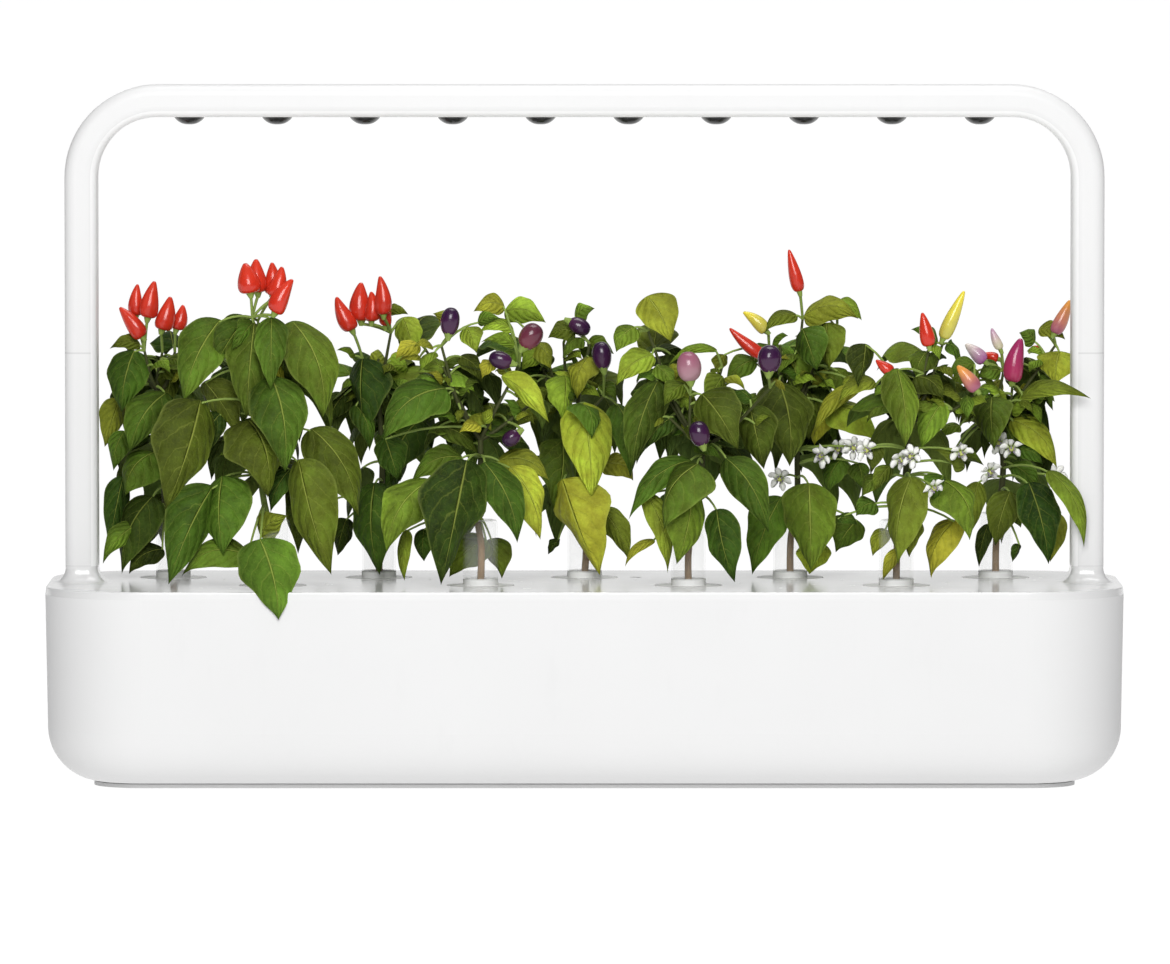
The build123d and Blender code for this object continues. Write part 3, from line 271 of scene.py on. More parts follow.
# The stage, in metres: the corners of the floor, then each light's name, place, side, power and aim.
FLOOR = (-60, -20), (60, -20), (60, 90), (-60, 90)
LIGHTS = (
    ("key", (-0.04, -2.6, 1.4), 1.3, 61.0, (0.0, 0.0, 0.16)),
    ("top", (0.2, 0.2, 2.0), 1.2, 20.0, (0.0, 0.0, 0.1)),
)
camera_aim, camera_away = (0.000285, 0, 0.1702), 6.0
camera_tilt, camera_lens = math.radians(3.4), 323.5


class Wire:
    """One socket of a node tree that takes part in plain arithmetic."""

    def __init__(self, net, socket):
        self.net, self.socket = net, socket

    def __add__(self, other):
        return self.net.maths("ADD", self, other)

    def __sub__(self, other):
        return self.net.maths("SUBTRACT", self, other)

    def __rsub__(self, other):
        return self.net.maths("SUBTRACT", other, self)

    def __mul__(self, other):
        return self.net.maths("MULTIPLY", self, other)

    def __truediv__(self, other):
        return self.net.maths("DIVIDE", self, other)

    def __pow__(self, other):
        return self.net.maths("POWER", self, other)

    __radd__, __rmul__ = __add__, __mul__


def wide(value):
    """Whether a value is a colour or a vector."""
    return isinstance(value, tuple) or (isinstance(value, Wire) and value.socket.type in ("VECTOR", "RGBA"))


class Net:
    """Builds one node tree, for a material or for geometry."""

    def __init__(self, tree):
        self.tree = tree
        tree.nodes.clear()

    def feed(self, socket, value):
        if isinstance(value, Wire):
            self.tree.links.new(value.socket, socket)
        elif isinstance(value, list):
            for one in value:
                self.feed(socket, one)
        elif isinstance(value, tuple) and socket.type == "RGBA":
            socket.default_value = (*value, 1.0)[:4]
        else:
            socket.default_value = value

    def node(self, kind, settings=None, inputs=None, out=0):
        made = self.tree.nodes.new(kind)
        for name, value in (settings or {}).items():
            if name == "stops":
                ramp = made.color_ramp
                while len(ramp.elements) < len(value):
                    ramp.elements.new(0.5)
                for element, (place, colour) in zip(ramp.elements, value):
                    element.position, element.color = place, (*colour, 1.0)
            else:
                setattr(made, name, value)
        for name, value in (inputs or {}).items():
            self.feed(made.inputs[name], value)
        return Wire(self, made.outputs[out]) if len(made.outputs) else made

    def maths(self, operation, *values):
        vector = any(wide(value) for value in values)
        kind = "ShaderNodeVectorMath" if vector else "ShaderNodeMath"
        if vector:
            values = [(value,) * 3 if isinstance(value, (int, float)) else value for value in values]
        number = operation in ("DOT_PRODUCT", "LENGTH")
        return self.node(kind, {"operation": operation}, dict(enumerate(values)), out=1 if number else 0)

    def size(self, value):
        """A value without its sign."""
        return self.maths("ABSOLUTE", value)

    def sine(self, value):
        return self.maths("SINE", value)

    def cosine(self, value):
        return self.maths("COSINE", value)

    def axis(self, vector, number):
        """One axis of a vector: 0 for X, 1 for Y and 2 for Z."""
        return self.node("ShaderNodeSeparateXYZ", {}, {0: vector}, out=number)

    def ramp(self, value, low, high):
        """0 below low and 1 above high, eased between."""
        return self.node("ShaderNodeMapRange", {"interpolation_type": "SMOOTHSTEP"},
                         {"Value": value, "From Min": low, "From Max": high})

    def mix(self, factor, first, second):
        return self.node("ShaderNodeMix", {"data_type": "RGBA"}, {0: factor, 6: first, 7: second}, out=2)

    def place(self):
        return self.node("ShaderNodeTexCoord", out="Object")

    def noise(self, where, size, detail=2.0, roughness=0.5):
        """Noise whose lumps measure about size, in metres."""
        return self.node("ShaderNodeTexNoise", {}, {
            "Vector": where, "Scale": 1.0 / size, "Detail": detail, "Roughness": roughness})

    def mark(self, name, out="Fac"):
        """What a shader reads from a mesh attribute."""
        return self.node("ShaderNodeAttribute", {"attribute_name": name}, out=out)

    def bump(self, height, distance):
        return self.node("ShaderNodeBump", {}, {"Height": height, "Distance": distance, "Strength": 1.0})

    def field(self, name, kind="FLOAT"):
        """What a geometry tree reads from a mesh attribute."""
        return self.node("GeometryNodeInputNamedAttribute", {"data_type": kind}, {"Name": name})

    def store(self, geometry, name, value, domain="POINT"):
        return self.node("GeometryNodeStoreNamedAttribute", {"data_type": "FLOAT", "domain": domain},
                         {"Geometry": geometry, "Name": name, "Value": value})


def finish(name, dress, **fixed):
    """A material whose varying sockets come from dress and whose constants are given by name."""
    material = bpy.data.materials.new(name)
    material.use_nodes = True
    net = Net(material.node_tree)
    inputs = {key.replace("_", " ").title().replace("Ior", "IOR"): value for key, value in fixed.items()}
    inputs.update(dress(net))
    shader = net.node("ShaderNodeBsdfPrincipled", {}, inputs)
    net.node("ShaderNodeOutputMaterial", {}, {"Surface": shader})
    return material


def paint(material, *names):
    """Gives CAD nodes a material in each of their slots."""
    for name in names:
        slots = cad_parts[name].material_slots
        if not slots:
            raise RuntimeError(name + " has no material slot")
        for slot in slots:
            slot.material = material


def seat(piece, body, slot, *nodes):
    """Lets a piece ride on a body and stand for CAD nodes, which it hides. Its slot is not used."""
    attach(piece, body)
    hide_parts(*nodes)


def add_object(name, data):
    """A new object in the scene."""
    made = bpy.data.objects.new(name, data)
    bpy.context.scene.collection.objects.link(made)
    return made


def add_smooth(mesh, material):
    """A smooth piece made from a mesh, in the scene."""
    mesh.shade_smooth()
    mesh.materials.clear()
    mesh.materials.append(material)
    return add_object(mesh.name, mesh)


def turned(profile, centres, turns):
    """Points and faces of a profile turned about an upright line through each centre on the X axis."""
    points, faces = [], []
    for centre in centres:
        rings = []
        for radius, height in profile:
            count = turns if radius else 1
            rings.append([len(points) + one % count for one in range(turns + 1)])
            points += [(centre + radius * math.cos(math.tau * one / turns),
                        radius * math.sin(math.tau * one / turns), height) for one in range(count)]
        for low, high in zip(rings, rings[1:]):
            for one in range(turns):
                corners = low[one], low[one + 1], high[one + 1], high[one]
                faces.append(tuple(dict.fromkeys(corners)))
    return points, faces


# ---------------------------------------------------------------- growth from rows of numbers

def growth(name, sizes):
    """An empty geometry tree with named inputs. Returns its net and a wire for each input."""
    tree = bpy.data.node_groups.new(name, "GeometryNodeTree")
    net = Net(tree)
    for title, kind in {"Points": "Geometry", **sizes, "Material": "Material"}.items():
        tree.interface.new_socket(title, in_out="INPUT", socket_type="NodeSocket" + kind)
    tree.interface.new_socket("Mesh", in_out="OUTPUT", socket_type="NodeSocketGeometry")
    entry = tree.nodes.new("NodeGroupInput")
    return net, {socket.name: Wire(net, socket) for socket in entry.outputs if socket.name}


def lay_out(net, give, shape):
    """The shape on each point, and wires for where its row says that it lies."""
    placed = net.node("GeometryNodeInstanceOnPoints", {}, {"Points": give["Points"], "Instance": shape})
    whole = net.node("GeometryNodeRealizeInstances", {}, {"Geometry": placed})
    return whole, [net.field(name, "FLOAT_VECTOR") for name in ("root", "reach", "side", "rise", "bulge")]


def close_growth(net, give, geometry):
    """Ends a tree in smooth shading, Realize Instances and Set Material."""
    smooth = net.node("GeometryNodeSetShadeSmooth", {}, {"Geometry": geometry})
    whole = net.node("GeometryNodeRealizeInstances", {}, {"Geometry": smooth})
    painted = net.node("GeometryNodeSetMaterial", {}, {"Geometry": whole, "Material": give["Material"]})
    net.node("NodeGroupOutput", {}, {0: painted})
    return net.tree


def seeds(name, rows, edges=()):
    """A mesh of points that carries each row's numbers as attributes."""
    mesh = bpy.data.meshes.new(name)
    mesh.from_pydata([row["root"] for row in rows], edges, [])
    for key, value in rows[0].items():
        number = isinstance(value, (int, float))
        layer = mesh.attributes.new(key, "FLOAT" if number else "FLOAT_VECTOR", "POINT")
        flat = [row[key] for row in rows] if number else [axis for row in rows for axis in row[key]]
        layer.data.foreach_set("value" if number else "vector", flat)
    return mesh


def grow(pod, title, tree, seeded, edges=(), **values):
    """Runs a tree on rows, keeps what it makes as one plain mesh and seats it on its pod."""
    name = "pod_%d_%s" % (pod, title)
    piece = add_object(name, seeds(name, seeded, edges))
    modifier = piece.modifiers.new("Growth", "NODES")
    modifier.node_group = tree
    for item in tree.interface.items_tree:
        key = item.name.lower().replace(" ", "_")
        if item.in_out == "INPUT" and key in values:
            modifier[item.identifier] = values[key]
    bpy.context.view_layer.update()
    plain = bpy.data.meshes.new_from_object(piece.evaluated_get(bpy.context.evaluated_depsgraph_get()))
    if not plain.polygons:
        raise RuntimeError(name + " grew no faces")
    piece.modifiers.remove(modifier)
    piece.data = plain
    seat(piece, "pod_%d" % pod, "foliage", "pod_%d_plant" % pod)
    return piece


def outline(shoulder, taper):
    """Tree values for a blade's outline, which is 1 wide at its widest."""
    widest = shoulder / (shoulder + taper)
    return {"shoulder": shoulder, "taper": taper,
            "fullness": 1 / (widest ** shoulder * (1 - widest) ** taper)}


def blade_tree():
    """Lays one bowed, folded and ruffled blade on each point, closed by an underside."""
    net, give = growth("Blades", {"Rows": "Int", "Columns": "Int", "Shoulder": "Float", "Taper": "Float",
                                  "Fullness": "Float", "Thickness": "Float"})
    grid = net.node("GeometryNodeMeshGrid", {}, {
        "Size X": 1.0, "Size Y": 2.0, "Vertices X": give["Rows"], "Vertices Y": give["Columns"]})
    where = net.node("GeometryNodeInputPosition")
    upper = net.store(grid, "along", 0.5 - 0.5 * net.cosine((net.axis(where, 0) + 0.5) * math.pi))
    upper = net.store(upper, "across", net.axis(where, 1))
    lower = net.node("GeometryNodeFlipFaces", {}, {"Mesh": upper})
    sheets = [net.store(net.store(sheet, "under", number, "FACE"), "layer", number)
              for sheet, number in ((upper, 0.0), (lower, 1.0))]
    both = net.node("GeometryNodeJoinGeometry", {}, {"Geometry": sheets})
    whole, (root, reach, side, rise, bulge) = lay_out(net, give, both)
    u, v = net.field("along"), net.field("across")
    phase, ruffle, flank = net.field("phase"), net.field("ruffle"), net.maths("SIGN", v)

    width = u ** give["Shoulder"] * (1.0 - u) ** give["Taper"] * give["Fullness"]
    bow = u * (1.0 - u) * 4.0
    swell = net.sine(u * 11.0 + phase + 1.7 * flank)
    wobble = 1.0 + 0.40 * ruffle * net.sine(u * 17.0 + phase * 2.0 + 2.4 * flank)
    lift = width * (ruffle * v * v * swell - net.size(v) ** 1.4 * net.sine(net.field("fold")))
    out = v * width * wobble
    twist = net.field("twist") * (u - 0.3)
    turn, lean = net.cosine(twist), net.sine(twist)
    body = net.maths("MINIMUM", width * 3.0, 1.0) * (1.0 - v * v) * net.field("layer") * give["Thickness"]
    target = (root + reach * u + bulge * bow + side * (out * turn - lift * lean)
              + rise * (net.maths("LENGTH", side) * (out * lean + lift * turn) - body))
    moved = net.node("GeometryNodeSetPosition", {}, {"Geometry": whole, "Position": target})
    closed = net.node("GeometryNodeMergeByDistance", {}, {"Geometry": moved, "Distance": 0.02 * MM})
    return close_growth(net, give, closed)


def fruit_tree():
    """Swells one rounded body on each point, from a pepper that tapers to an egg."""
    net, give = growth("Fruit", {"Segments": "Int", "Rings": "Int"})
    ball = net.node("GeometryNodeMeshUVSphere", {}, {"Segments": give["Segments"], "Rings": give["Rings"]})
    where = net.node("GeometryNodeInputPosition")
    ball = net.store(ball, "along", 1.0 - net.maths("ARCCOSINE", net.axis(where, 2)) / math.pi)
    ball = net.store(ball, "across", net.maths("ARCTAN2", net.axis(where, 1), net.axis(where, 0)))
    whole, (root, reach, side, rise, bulge) = lay_out(net, give, ball)
    climb, turn, roundness = net.field("along") * math.pi, net.field("across"), net.field("roundness")

    spread = 0.5 - 0.5 * net.cosine(climb)
    egg = net.sine(climb) ** 0.86 * (0.93 + 0.11 * spread)
    pepper = net.sine(climb) ** 0.46 * (1.30 - 1.02 * spread ** 1.35)
    girth = egg * roundness + pepper * (1.0 - roundness)
    dent = 1.0 + 0.035 * net.sine(turn * 3.0 + net.field("phase")) * (1.0 - spread)
    target = (root + reach * spread + bulge * (spread * (1.0 - spread) * 4.0)
              + (side * net.cosine(turn) + rise * net.sine(turn)) * (girth * dent))
    moved = net.node("GeometryNodeSetPosition", {}, {"Geometry": whole, "Position": target})
    return close_growth(net, give, moved)


def limb_tree():
    """Sweeps a round section along each line of points, as thick as the points say."""
    net, give = growth("Limbs", {"Sides": "Int"})
    line = net.node("GeometryNodeMeshToCurve", {}, {"Mesh": give["Points"]})
    ring = net.node("GeometryNodeCurvePrimitiveCircle", {}, {"Resolution": give["Sides"], "Radius": 1.0})
    swept = net.node("GeometryNodeCurveToMesh", {}, {
        "Curve": line, "Profile Curve": ring, "Scale": net.field("thick"), "Fill Caps": True})
    return close_growth(net, give, swept)


# ---------------------------------------------------------------- skeletons of the plants

def pod_middle(pod):
    """The stem's X and Y where it leaves the pod, in metres. Odd pods stand in the rear row."""
    return (pod - 5) * pod_pitch * MM, (row_offset if pod % 2 else -row_offset) * MM


def at(pod, x, z, behind=0.0):
    """A point given in X and Z and in how far it stands behind the stem, in millimetres."""
    return Vector((x * MM, pod_middle(pod)[1] + behind * MM, z * MM))


def smooth_line(points, steps=4):
    """Points along a smooth line through all the given ones."""
    ends = [points[0] * 2 - points[1], *points, points[-1] * 2 - points[-2]]
    line = []
    for a, b, c, d in zip(ends, ends[1:], ends[2:], ends[3:]):
        for step in range(steps):
            t = step / steps
            line.append(b + (c - a) * (t / 2) + (a * 2 - b * 5 + c * 4 - d) * (t * t / 2)
                        + (b * 3 - a - c * 3 + d) * (t ** 3 / 2))
    return line + [points[-1]]


def skeleton(pod):
    """The trunk and then the branches of a plant, each a smooth line of points."""
    bends, fork, tips = STEMS[pod]
    x, y = pod_middle(pod)
    foot = [Vector((x, y, stem_foot)), Vector((x + 0.0004, y, stem_in_tube))]
    fork = at(pod, *fork)
    lines = [smooth_line(foot + [at(pod, *bend) for bend in bends] + [fork])]
    draw = random.Random(BRANCH_SEED + pod)
    for place in tips:
        tip = at(pod, *place)
        knee = fork.lerp(tip, 0.45) + Vector((draw.uniform(-4, 4), draw.uniform(-4, 4), -3)) * MM
        lines.append(smooth_line([fork, knee, tip]))
    return lines


def nearest(lines, point):
    """The skeleton's point that a stalk to this point grows from. Higher ones count as farther."""
    joints = [joint for line in lines for joint in line if joint.z > lowest_stalk]
    return min(joints, key=lambda joint: (joint - point).length + 0.5 * max(0.0, joint.z - point.z - 0.006))


def arc(start, end, rise, steps=5):
    """A stalk that leaves start, bows by rise and reaches end."""
    middle = start.lerp(end, 0.5) + Vector((0, 0, rise))
    return [start * (1 - t) ** 2 + middle * (2 * t * (1 - t)) + end * t * t
            for t in [step / steps for step in range(steps + 1)]]


# ---------------------------------------------------------------- finishes

# Colours that the panel doesn't offer, as linear values.
clear_tube, cap_white = (0.90, 0.91, 0.90), (0.80, 0.80, 0.79)
mask_green, run_green = (0.012, 0.075, 0.03), (0.03, 0.14, 0.05)
peat_brown, fibre_brown = (0.035, 0.021, 0.012), (0.16, 0.095, 0.05)
# The lighter of the two lens colours is a painted reflection on the rims of the domes.
smoke_dark, lens_rim_reflection = (0.022, 0.022, 0.023), (0.17, 0.17, 0.17)
warm_leaf, cool_leaf = (1.15, 0.985, 1.0), (0.77, 1.03, 1.03)
vein_green, rim_green, under_green = (0.46, 0.52, 0.10), (0.30, 0.36, 0.08), (0.14, 0.20, 0.05)
petal_foot, petal_white = (0.52, 0.62, 0.26), (0.96, 0.96, 0.92)
stalk_green, stalk_dark, bark_brown = (0.26, 0.36, 0.08), (0.020, 0.013, 0.011), (0.36, 0.22, 0.10)


def moulded(colour, roughness, grain=0.00035, depth=0.000012, cloud=0.035, seams=()):
    """Injection-moulded plastic: a fine spark texture, a slight change of gloss and shaded seams."""
    def dress(net):
        place = net.place()
        tone = tuple(colour)
        # Painted shade: a thin darker band at each seam height, where the hairline gap between parts lies in
        # shade.
        for seam in seams:
            away = net.size(net.axis(place, 2) - seam)
            tone = tone * (1.0 - 0.16 * (1.0 - net.ramp(away, 0.0002, 0.0007)))
        broad = net.noise(place, 0.06, 2.0)
        scuff = net.ramp(net.noise(place * (1.0, 1.0, 0.25), 0.011, 4.0, 0.65), 0.55, 0.8)
        return {"Base Color": tone * (1.0 - cloud / 2 + cloud * broad) * (1.0 - 0.015 * scuff),
                "Roughness": roughness + 0.06 * (broad - 0.5) + 0.05 * scuff,
                "Normal": net.bump(net.noise(place, grain, 3.0, 0.6), depth)}
    return dress


def frosted(net):
    """A frosted clear tube with a solid cap at its foot and a denser rim."""
    place = net.place()
    height = net.axis(place, 2)
    cloud = net.noise(place, 0.006, 3.0)
    cap = 1.0 - net.ramp(height, *cap_top)
    rim = net.ramp(height, *tube_rim)
    return {"Base Color": net.mix(cap, clear_tube, cap_white),
            "Alpha": 0.035 + 0.045 * cloud + 0.96 * cap + 0.25 * rim,
            "Roughness": 0.34 + 0.12 * cloud,
            "Normal": net.bump(net.noise(place, 0.0006, 2.0), 0.00002)}


def metal(colour, roughness, along):
    """Drawn or milled metal with fine lines."""
    def dress(net):
        lines = net.noise(net.place() * along, 0.0004, 3.0, 0.7)
        return {"Base Color": colour * (0.88 + 0.2 * lines), "Roughness": roughness + 0.16 * lines,
                "Normal": net.bump(lines, 0.000008)}
    return dress


def board(net):
    """A coated circuit board with faint copper runs below the mask."""
    place = net.place()
    weave = net.noise(place, 0.0009, 2.0)
    runs = net.ramp(net.noise(place * (0.35, 1.0, 1.0), 0.003, 1.0, 0.3), 0.50, 0.54)
    return {"Base Color": net.mix(runs, mask_green, run_green) * (0.85 + 0.3 * weave),
            "Roughness": 0.34 + 0.1 * weave, "Normal": net.bump(runs, 0.00003)}


def soil(net):
    """Packed peat and coir: dark crumbs with paler fibres."""
    place = net.place()
    crumbs = net.noise(place, 0.0011, 5.0, 0.7)
    fibres = net.ramp(net.noise(place * (1.0, 1.0, 3.5), 0.0016, 3.0), 0.56, 0.66)
    return {"Base Color": net.mix(fibres, peat_brown, fibre_brown) * (0.5 + crumbs),
            "Roughness": 0.86 + 0.1 * crumbs, "Normal": net.bump(crumbs, 0.0006)}


def lens(net):
    """Smoked lens plastic with a painted reflection: dark in the middle of each dome and lighter towards its
    rim.
    """
    place = net.place()
    cloud = net.noise(place, 0.004, 2.0)
    away = net.size(net.maths("FRACT", net.axis(place, 0) / (lens_pitch * MM)) - 0.5) * lens_pitch * MM
    # Painted reflection: each dome turns lighter towards its rim, where its sloping sides would reflect the
    # light.
    tone = net.mix(net.ramp(away, 0.003, 0.0085), smoke_dark, lens_rim_reflection)
    return {"Base Color": tone * (0.9 + 0.2 * cloud),
            "Roughness": 0.13 + 0.06 * cloud, "Normal": net.bump(net.noise(place, 0.0009, 1.0), 0.00001)}


def between(first, second):
    """The colour half way between two."""
    return tuple((one + two) / 2 for one, two in zip(first, second))


def leaf(dark, middle, bright):
    """A pepper leaf: veins that part from a pale midrib, quilted fields, a paler underside and painted shade
    across the blade.
    """
    def dress(net):
        place, phase = net.place(), net.mark("phase")
        u, v, under = net.mark("along"), net.mark("across"), net.mark("under")
        edge, right = net.size(v), net.maths("GREATER_THAN", v, 0.0)
        cloud = net.noise(place, 0.010, 4.0, 0.6)
        speck = net.noise(place, 0.0016, 3.0, 0.6)

        # This value paints light and shade together with the leaf's own tone: leaves in shade are dark, lit
        # leaves bright.
        tint = net.mark("tint") + 0.22 * (cloud - 0.5) + 0.10 * (speck - 0.5)
        blade = net.node("ShaderNodeValToRGB", {"stops": (
            (0.0, dark), (0.28, between(dark, middle)), (0.55, middle),
            (0.80, between(middle, bright)), (1.0, bright))}, {"Fac": tint})
        cool = net.maths("FRACT", 2.7 * phase) + 0.8 * (cloud - 0.5)
        blade = blade * net.mix(net.ramp(cool, 0.0, 1.0), warm_leaf, cool_leaf)

        midrib = 1.0 - net.ramp(edge, 0.012, 0.070 - 0.048 * u)
        shift = (u - 0.42 * edge ** 1.5) * 5.0 + 0.5 * right + 0.9 * cloud
        gap = net.size(net.maths("FRACT", shift) - 0.5)
        ribs = (1.0 - net.ramp(gap, 0.01, 0.075)) * (1.0 - 0.6 * edge) * net.ramp(u, 0.02, 0.10)
        mesh = 1.0 - net.ramp(net.size(net.noise(place, 0.0042, 1.0) - 0.5), 0.0, 0.035)
        veins = net.maths("MAXIMUM", net.maths("MAXIMUM", midrib * 0.85, ribs * 0.30), mesh * 0.10)

        # Painted light and shade: the blade is darker towards its foot and lighter on one half, and shade
        # runs across it from one margin to the other. Cloud and speck add the leaf's own mottle.
        depth = 0.22 + 1.00 * cloud + 0.12 * right + 0.34 * u + 0.3 * (speck - 0.5)
        shade = 1.0 + 0.36 * net.sine(phase) * v
        upper = net.mix(veins, blade * depth * shade, net.mix(0.45, blade, vein_green))
        upper = net.mix(net.ramp(edge, 0.90, 1.0) * 0.22, upper, rim_green)
        height = net.ramp(gap, 0.0, 0.5) * (1.0 - midrib) * 0.5 - veins * 1.1 + 0.45 * speck + 0.8 * cloud
        return {"Base Color": net.mix(under, upper, net.mix(0.45, upper, under_green)),
                "Roughness": 0.46 + 0.16 * speck + 0.12 * under,
                "Normal": net.bump(height, 0.0009)}
    return dress


def skin(net):
    """The taut, waxed skin of a pepper, which ripens from its stalk to its tip."""
    place = net.place()
    cloud = net.noise(place, 0.007, 2.0)
    part = net.ramp(net.mark("along") + 0.18 * (cloud - 0.5), 0.12, 0.88)
    ripe = net.mix(part, net.mark("shoulder", "Vector"), net.mark("end", "Vector"))
    return {"Base Color": ripe * (0.84 + 0.32 * cloud), "Roughness": 0.17 + 0.10 * cloud,
            "Normal": net.bump(net.noise(place, 0.0035, 2.0), 0.0002)}


def petal(net):
    """A thin white petal, green at its foot, with faint lines along it."""
    lines = 0.5 + 0.5 * net.sine(net.mark("across") * 22.0)
    tone = net.mix(net.ramp(net.mark("along"), 0.0, 0.45), petal_foot, petal_white)
    return {"Base Color": tone * (0.94 + 0.06 * lines),
            "Roughness": 0.55 + 0.1 * lines, "Normal": net.bump(lines, 0.00008)}


def stalk(net):
    """Green stalks that darken with age and turn brown towards the foot."""
    place, age = net.place(), net.mark("tone")
    lines = net.noise(place * (1.0, 1.0, 0.18), 0.0009, 3.0, 0.6)
    low = 1.0 - net.ramp(net.axis(place, 2), *bark_top)
    tone = net.mix(low * 0.85 * age, net.mix(age, stalk_green, stalk_dark), bark_brown)
    return {"Base Color": tone * (0.75 + 0.5 * lines), "Roughness": 0.42 + 0.2 * lines,
            "Normal": net.bump(lines, 0.0002)}


def ground(net):
    """A pale floor, nearly even."""
    cloud = net.noise(net.place(), 0.5, 2.0)
    return {"Base Color": (0.04, 0.04, 0.04) * (0.98 + 0.04 * cloud), "Roughness": 0.75 + 0.1 * cloud}


# ---------------------------------------------------------------- what a user may change

class GardenSizes(bpy.types.PropertyGroup):
    """Sizes of the parts that this file makes."""

    blade_thickness: FloatProperty(name="Blade thickness", description="Thickness of a leaf at its midrib",
                                   default=0.00045, min=0.0001, unit="LENGTH")
    blade_rows: IntProperty(name="Blade rows", description="Points along a leaf", default=25, min=5)
    blade_columns: IntProperty(name="Blade columns", description="Points across a leaf", default=9, min=3)
    stalk_width: FloatProperty(name="Stalk width", description="Radius of a stem where it leaves its pod",
                               default=0.0021, min=0.0005, unit="LENGTH")
    rear_leaves: IntProperty(name="Rear leaves", description="Leaves added behind each plant",
                             default=21, min=0)
    young_leaves: IntProperty(name="Young leaves", description="Small leaves along the shoots of a plant",
                              default=24, min=0)
    petal_length: FloatProperty(name="Petal length", description="From a flower's middle to a petal's tip",
                                default=0.0073, min=0.002, unit="LENGTH")
    crumb: FloatProperty(name="Crumb", description="How far the growing medium's surface is pitted",
                         default=0.0005, min=0.0, unit="LENGTH")


class GardenColours(bpy.types.PropertyGroup):
    """Colours of the visible finishes, as linear values."""

    white: FloatVectorProperty(name="White", description="Glossy and matte mouldings",
                               default=(0.71, 0.71, 0.71), subtype="COLOR", min=0, max=1)
    strip: FloatVectorProperty(name="Inner strip", description="The strip along the legs and the arch",
                               default=(0.84, 0.84, 0.84), subtype="COLOR", min=0, max=1)
    leaf_dark: FloatVectorProperty(name="Dark leaf", description="Old leaves in the shade",
                                   default=(0.016, 0.034, 0.005), subtype="COLOR", min=0, max=1)
    leaf_middle: FloatVectorProperty(name="Leaf", description="Grown leaves",
                                     default=(0.130, 0.187, 0.018), subtype="COLOR", min=0, max=1)
    leaf_bright: FloatVectorProperty(name="Young leaf", description="Young leaves in the light",
                                     default=(0.50, 0.53, 0.045), subtype="COLOR", min=0, max=1)


# ---------------------------------------------------------------- parts of the plants

def within(value, limit):
    """The value, kept between the limit and its negative."""
    return max(-limit, min(limit, value))


def listed_leaves(pod, draw):
    """Base, tip, half width, tone with painted light and shade, and facing of the leaves in the table."""
    middle, places = pod_middle(pod)[0] / MM, []
    for bx, bz, tx, tz, width, tint, behind in LEAVES[pod]:
        hangs = behind < over_rim
        near = behind * (0.85 if hangs else 0.6)
        if tz < tube_top and min(abs(bx - middle), abs(tx - middle)) < 10 + width / 2:
            behind = near = math.copysign(max(abs(behind), clear_of_tube), behind)
        facing = Vector((draw.uniform(-0.75, 0.75), -1.0, draw.uniform(-0.45, 0.95)))
        base, tip = at(pod, bx, bz, near), at(pod, tx, tz, behind)
        base += (base - tip) * 0.04
        if not hangs:
            tip.z = max(tip.z, above_collar if abs(tip.x) > collar_side else above_deck)
            tip.x = within(tip.x, leg_side)
        places.append((base, tip, width * 0.57 * MM, tint / 100, facing.normalized()))
    return places


def rear_leaves(lines, draw, count):
    """The same of the leaves that hang behind a plant."""
    joints = [joint for line in lines for joint in line if joint.z > lowest_rear_stalk]
    places = []
    for turn in range(count):
        joint = draw.choice(joints)
        way = math.radians(draw.uniform(10, 170))
        length = draw.uniform(0.026, 0.056)
        drop = draw.uniform(-1.9, -0.1)
        out = Vector((math.cos(way) * 0.55, math.sin(way), 0))
        base = joint + out * draw.uniform(0.004, 0.026) + Vector((0, 0, draw.uniform(-0.004, 0.010)))
        tip = base + (out + Vector((0, 0, drop))).normalized() * length
        base.z, tip.z = min(base.z, rear_leaf_high), max(tip.z, rear_leaf_low)
        tip.y = min(tip.y, rear_leaf_back)
        base.x, tip.x = within(base.x, rear_leaf_side), within(tip.x, rear_leaf_side)
        # Leaves behind the plant get low values, which is painted shade because they stand in the plant's
        # shadow.
        places.append((base, tip, length * draw.uniform(0.19, 0.25), draw.uniform(0.05, 0.6),
                       (out * 0.5 + Vector((0, 0, 1))).normalized()))
    return places


def young_leaves(lines, draw, count):
    """The same of the small leaves along the outer half of each branch."""
    shoots = [joint for line in lines[1:] for joint in line[len(line) // 2:]]
    places = []
    for turn in range(count):
        joint = draw.choice(shoots)
        way = draw.uniform(0, math.tau)
        out = Vector((math.cos(way), math.sin(way) * 0.6, 0))
        length = draw.uniform(0.009, 0.019)
        base = joint + out * draw.uniform(0.002, 0.008) + Vector((0, 0, draw.uniform(-0.006, 0.004)))
        tip = base + (out + Vector((0, 0, draw.uniform(-1.1, 0.6)))).normalized() * length
        base.x, tip.x = within(base.x, young_leaf_side), within(tip.x, young_leaf_side)
        places.append((base, tip, length * draw.uniform(0.20, 0.27), draw.uniform(0.25, 0.78),
                       (out * 0.4 + Vector((0, -0.7, 0.8))).normalized()))
    return places


def leaf_places(pod, sizes):
    """All leaves of a plant. The first three plants have fewer young ones."""
    draw, lines = random.Random(PLACE_SEED + pod), skeleton(pod)
    young = sizes.young_leaves if pod > 3 else sizes.young_leaves // 3
    return (listed_leaves(pod, draw) + rear_leaves(lines, draw, sizes.rear_leaves)
            + young_leaves(lines, draw, young))


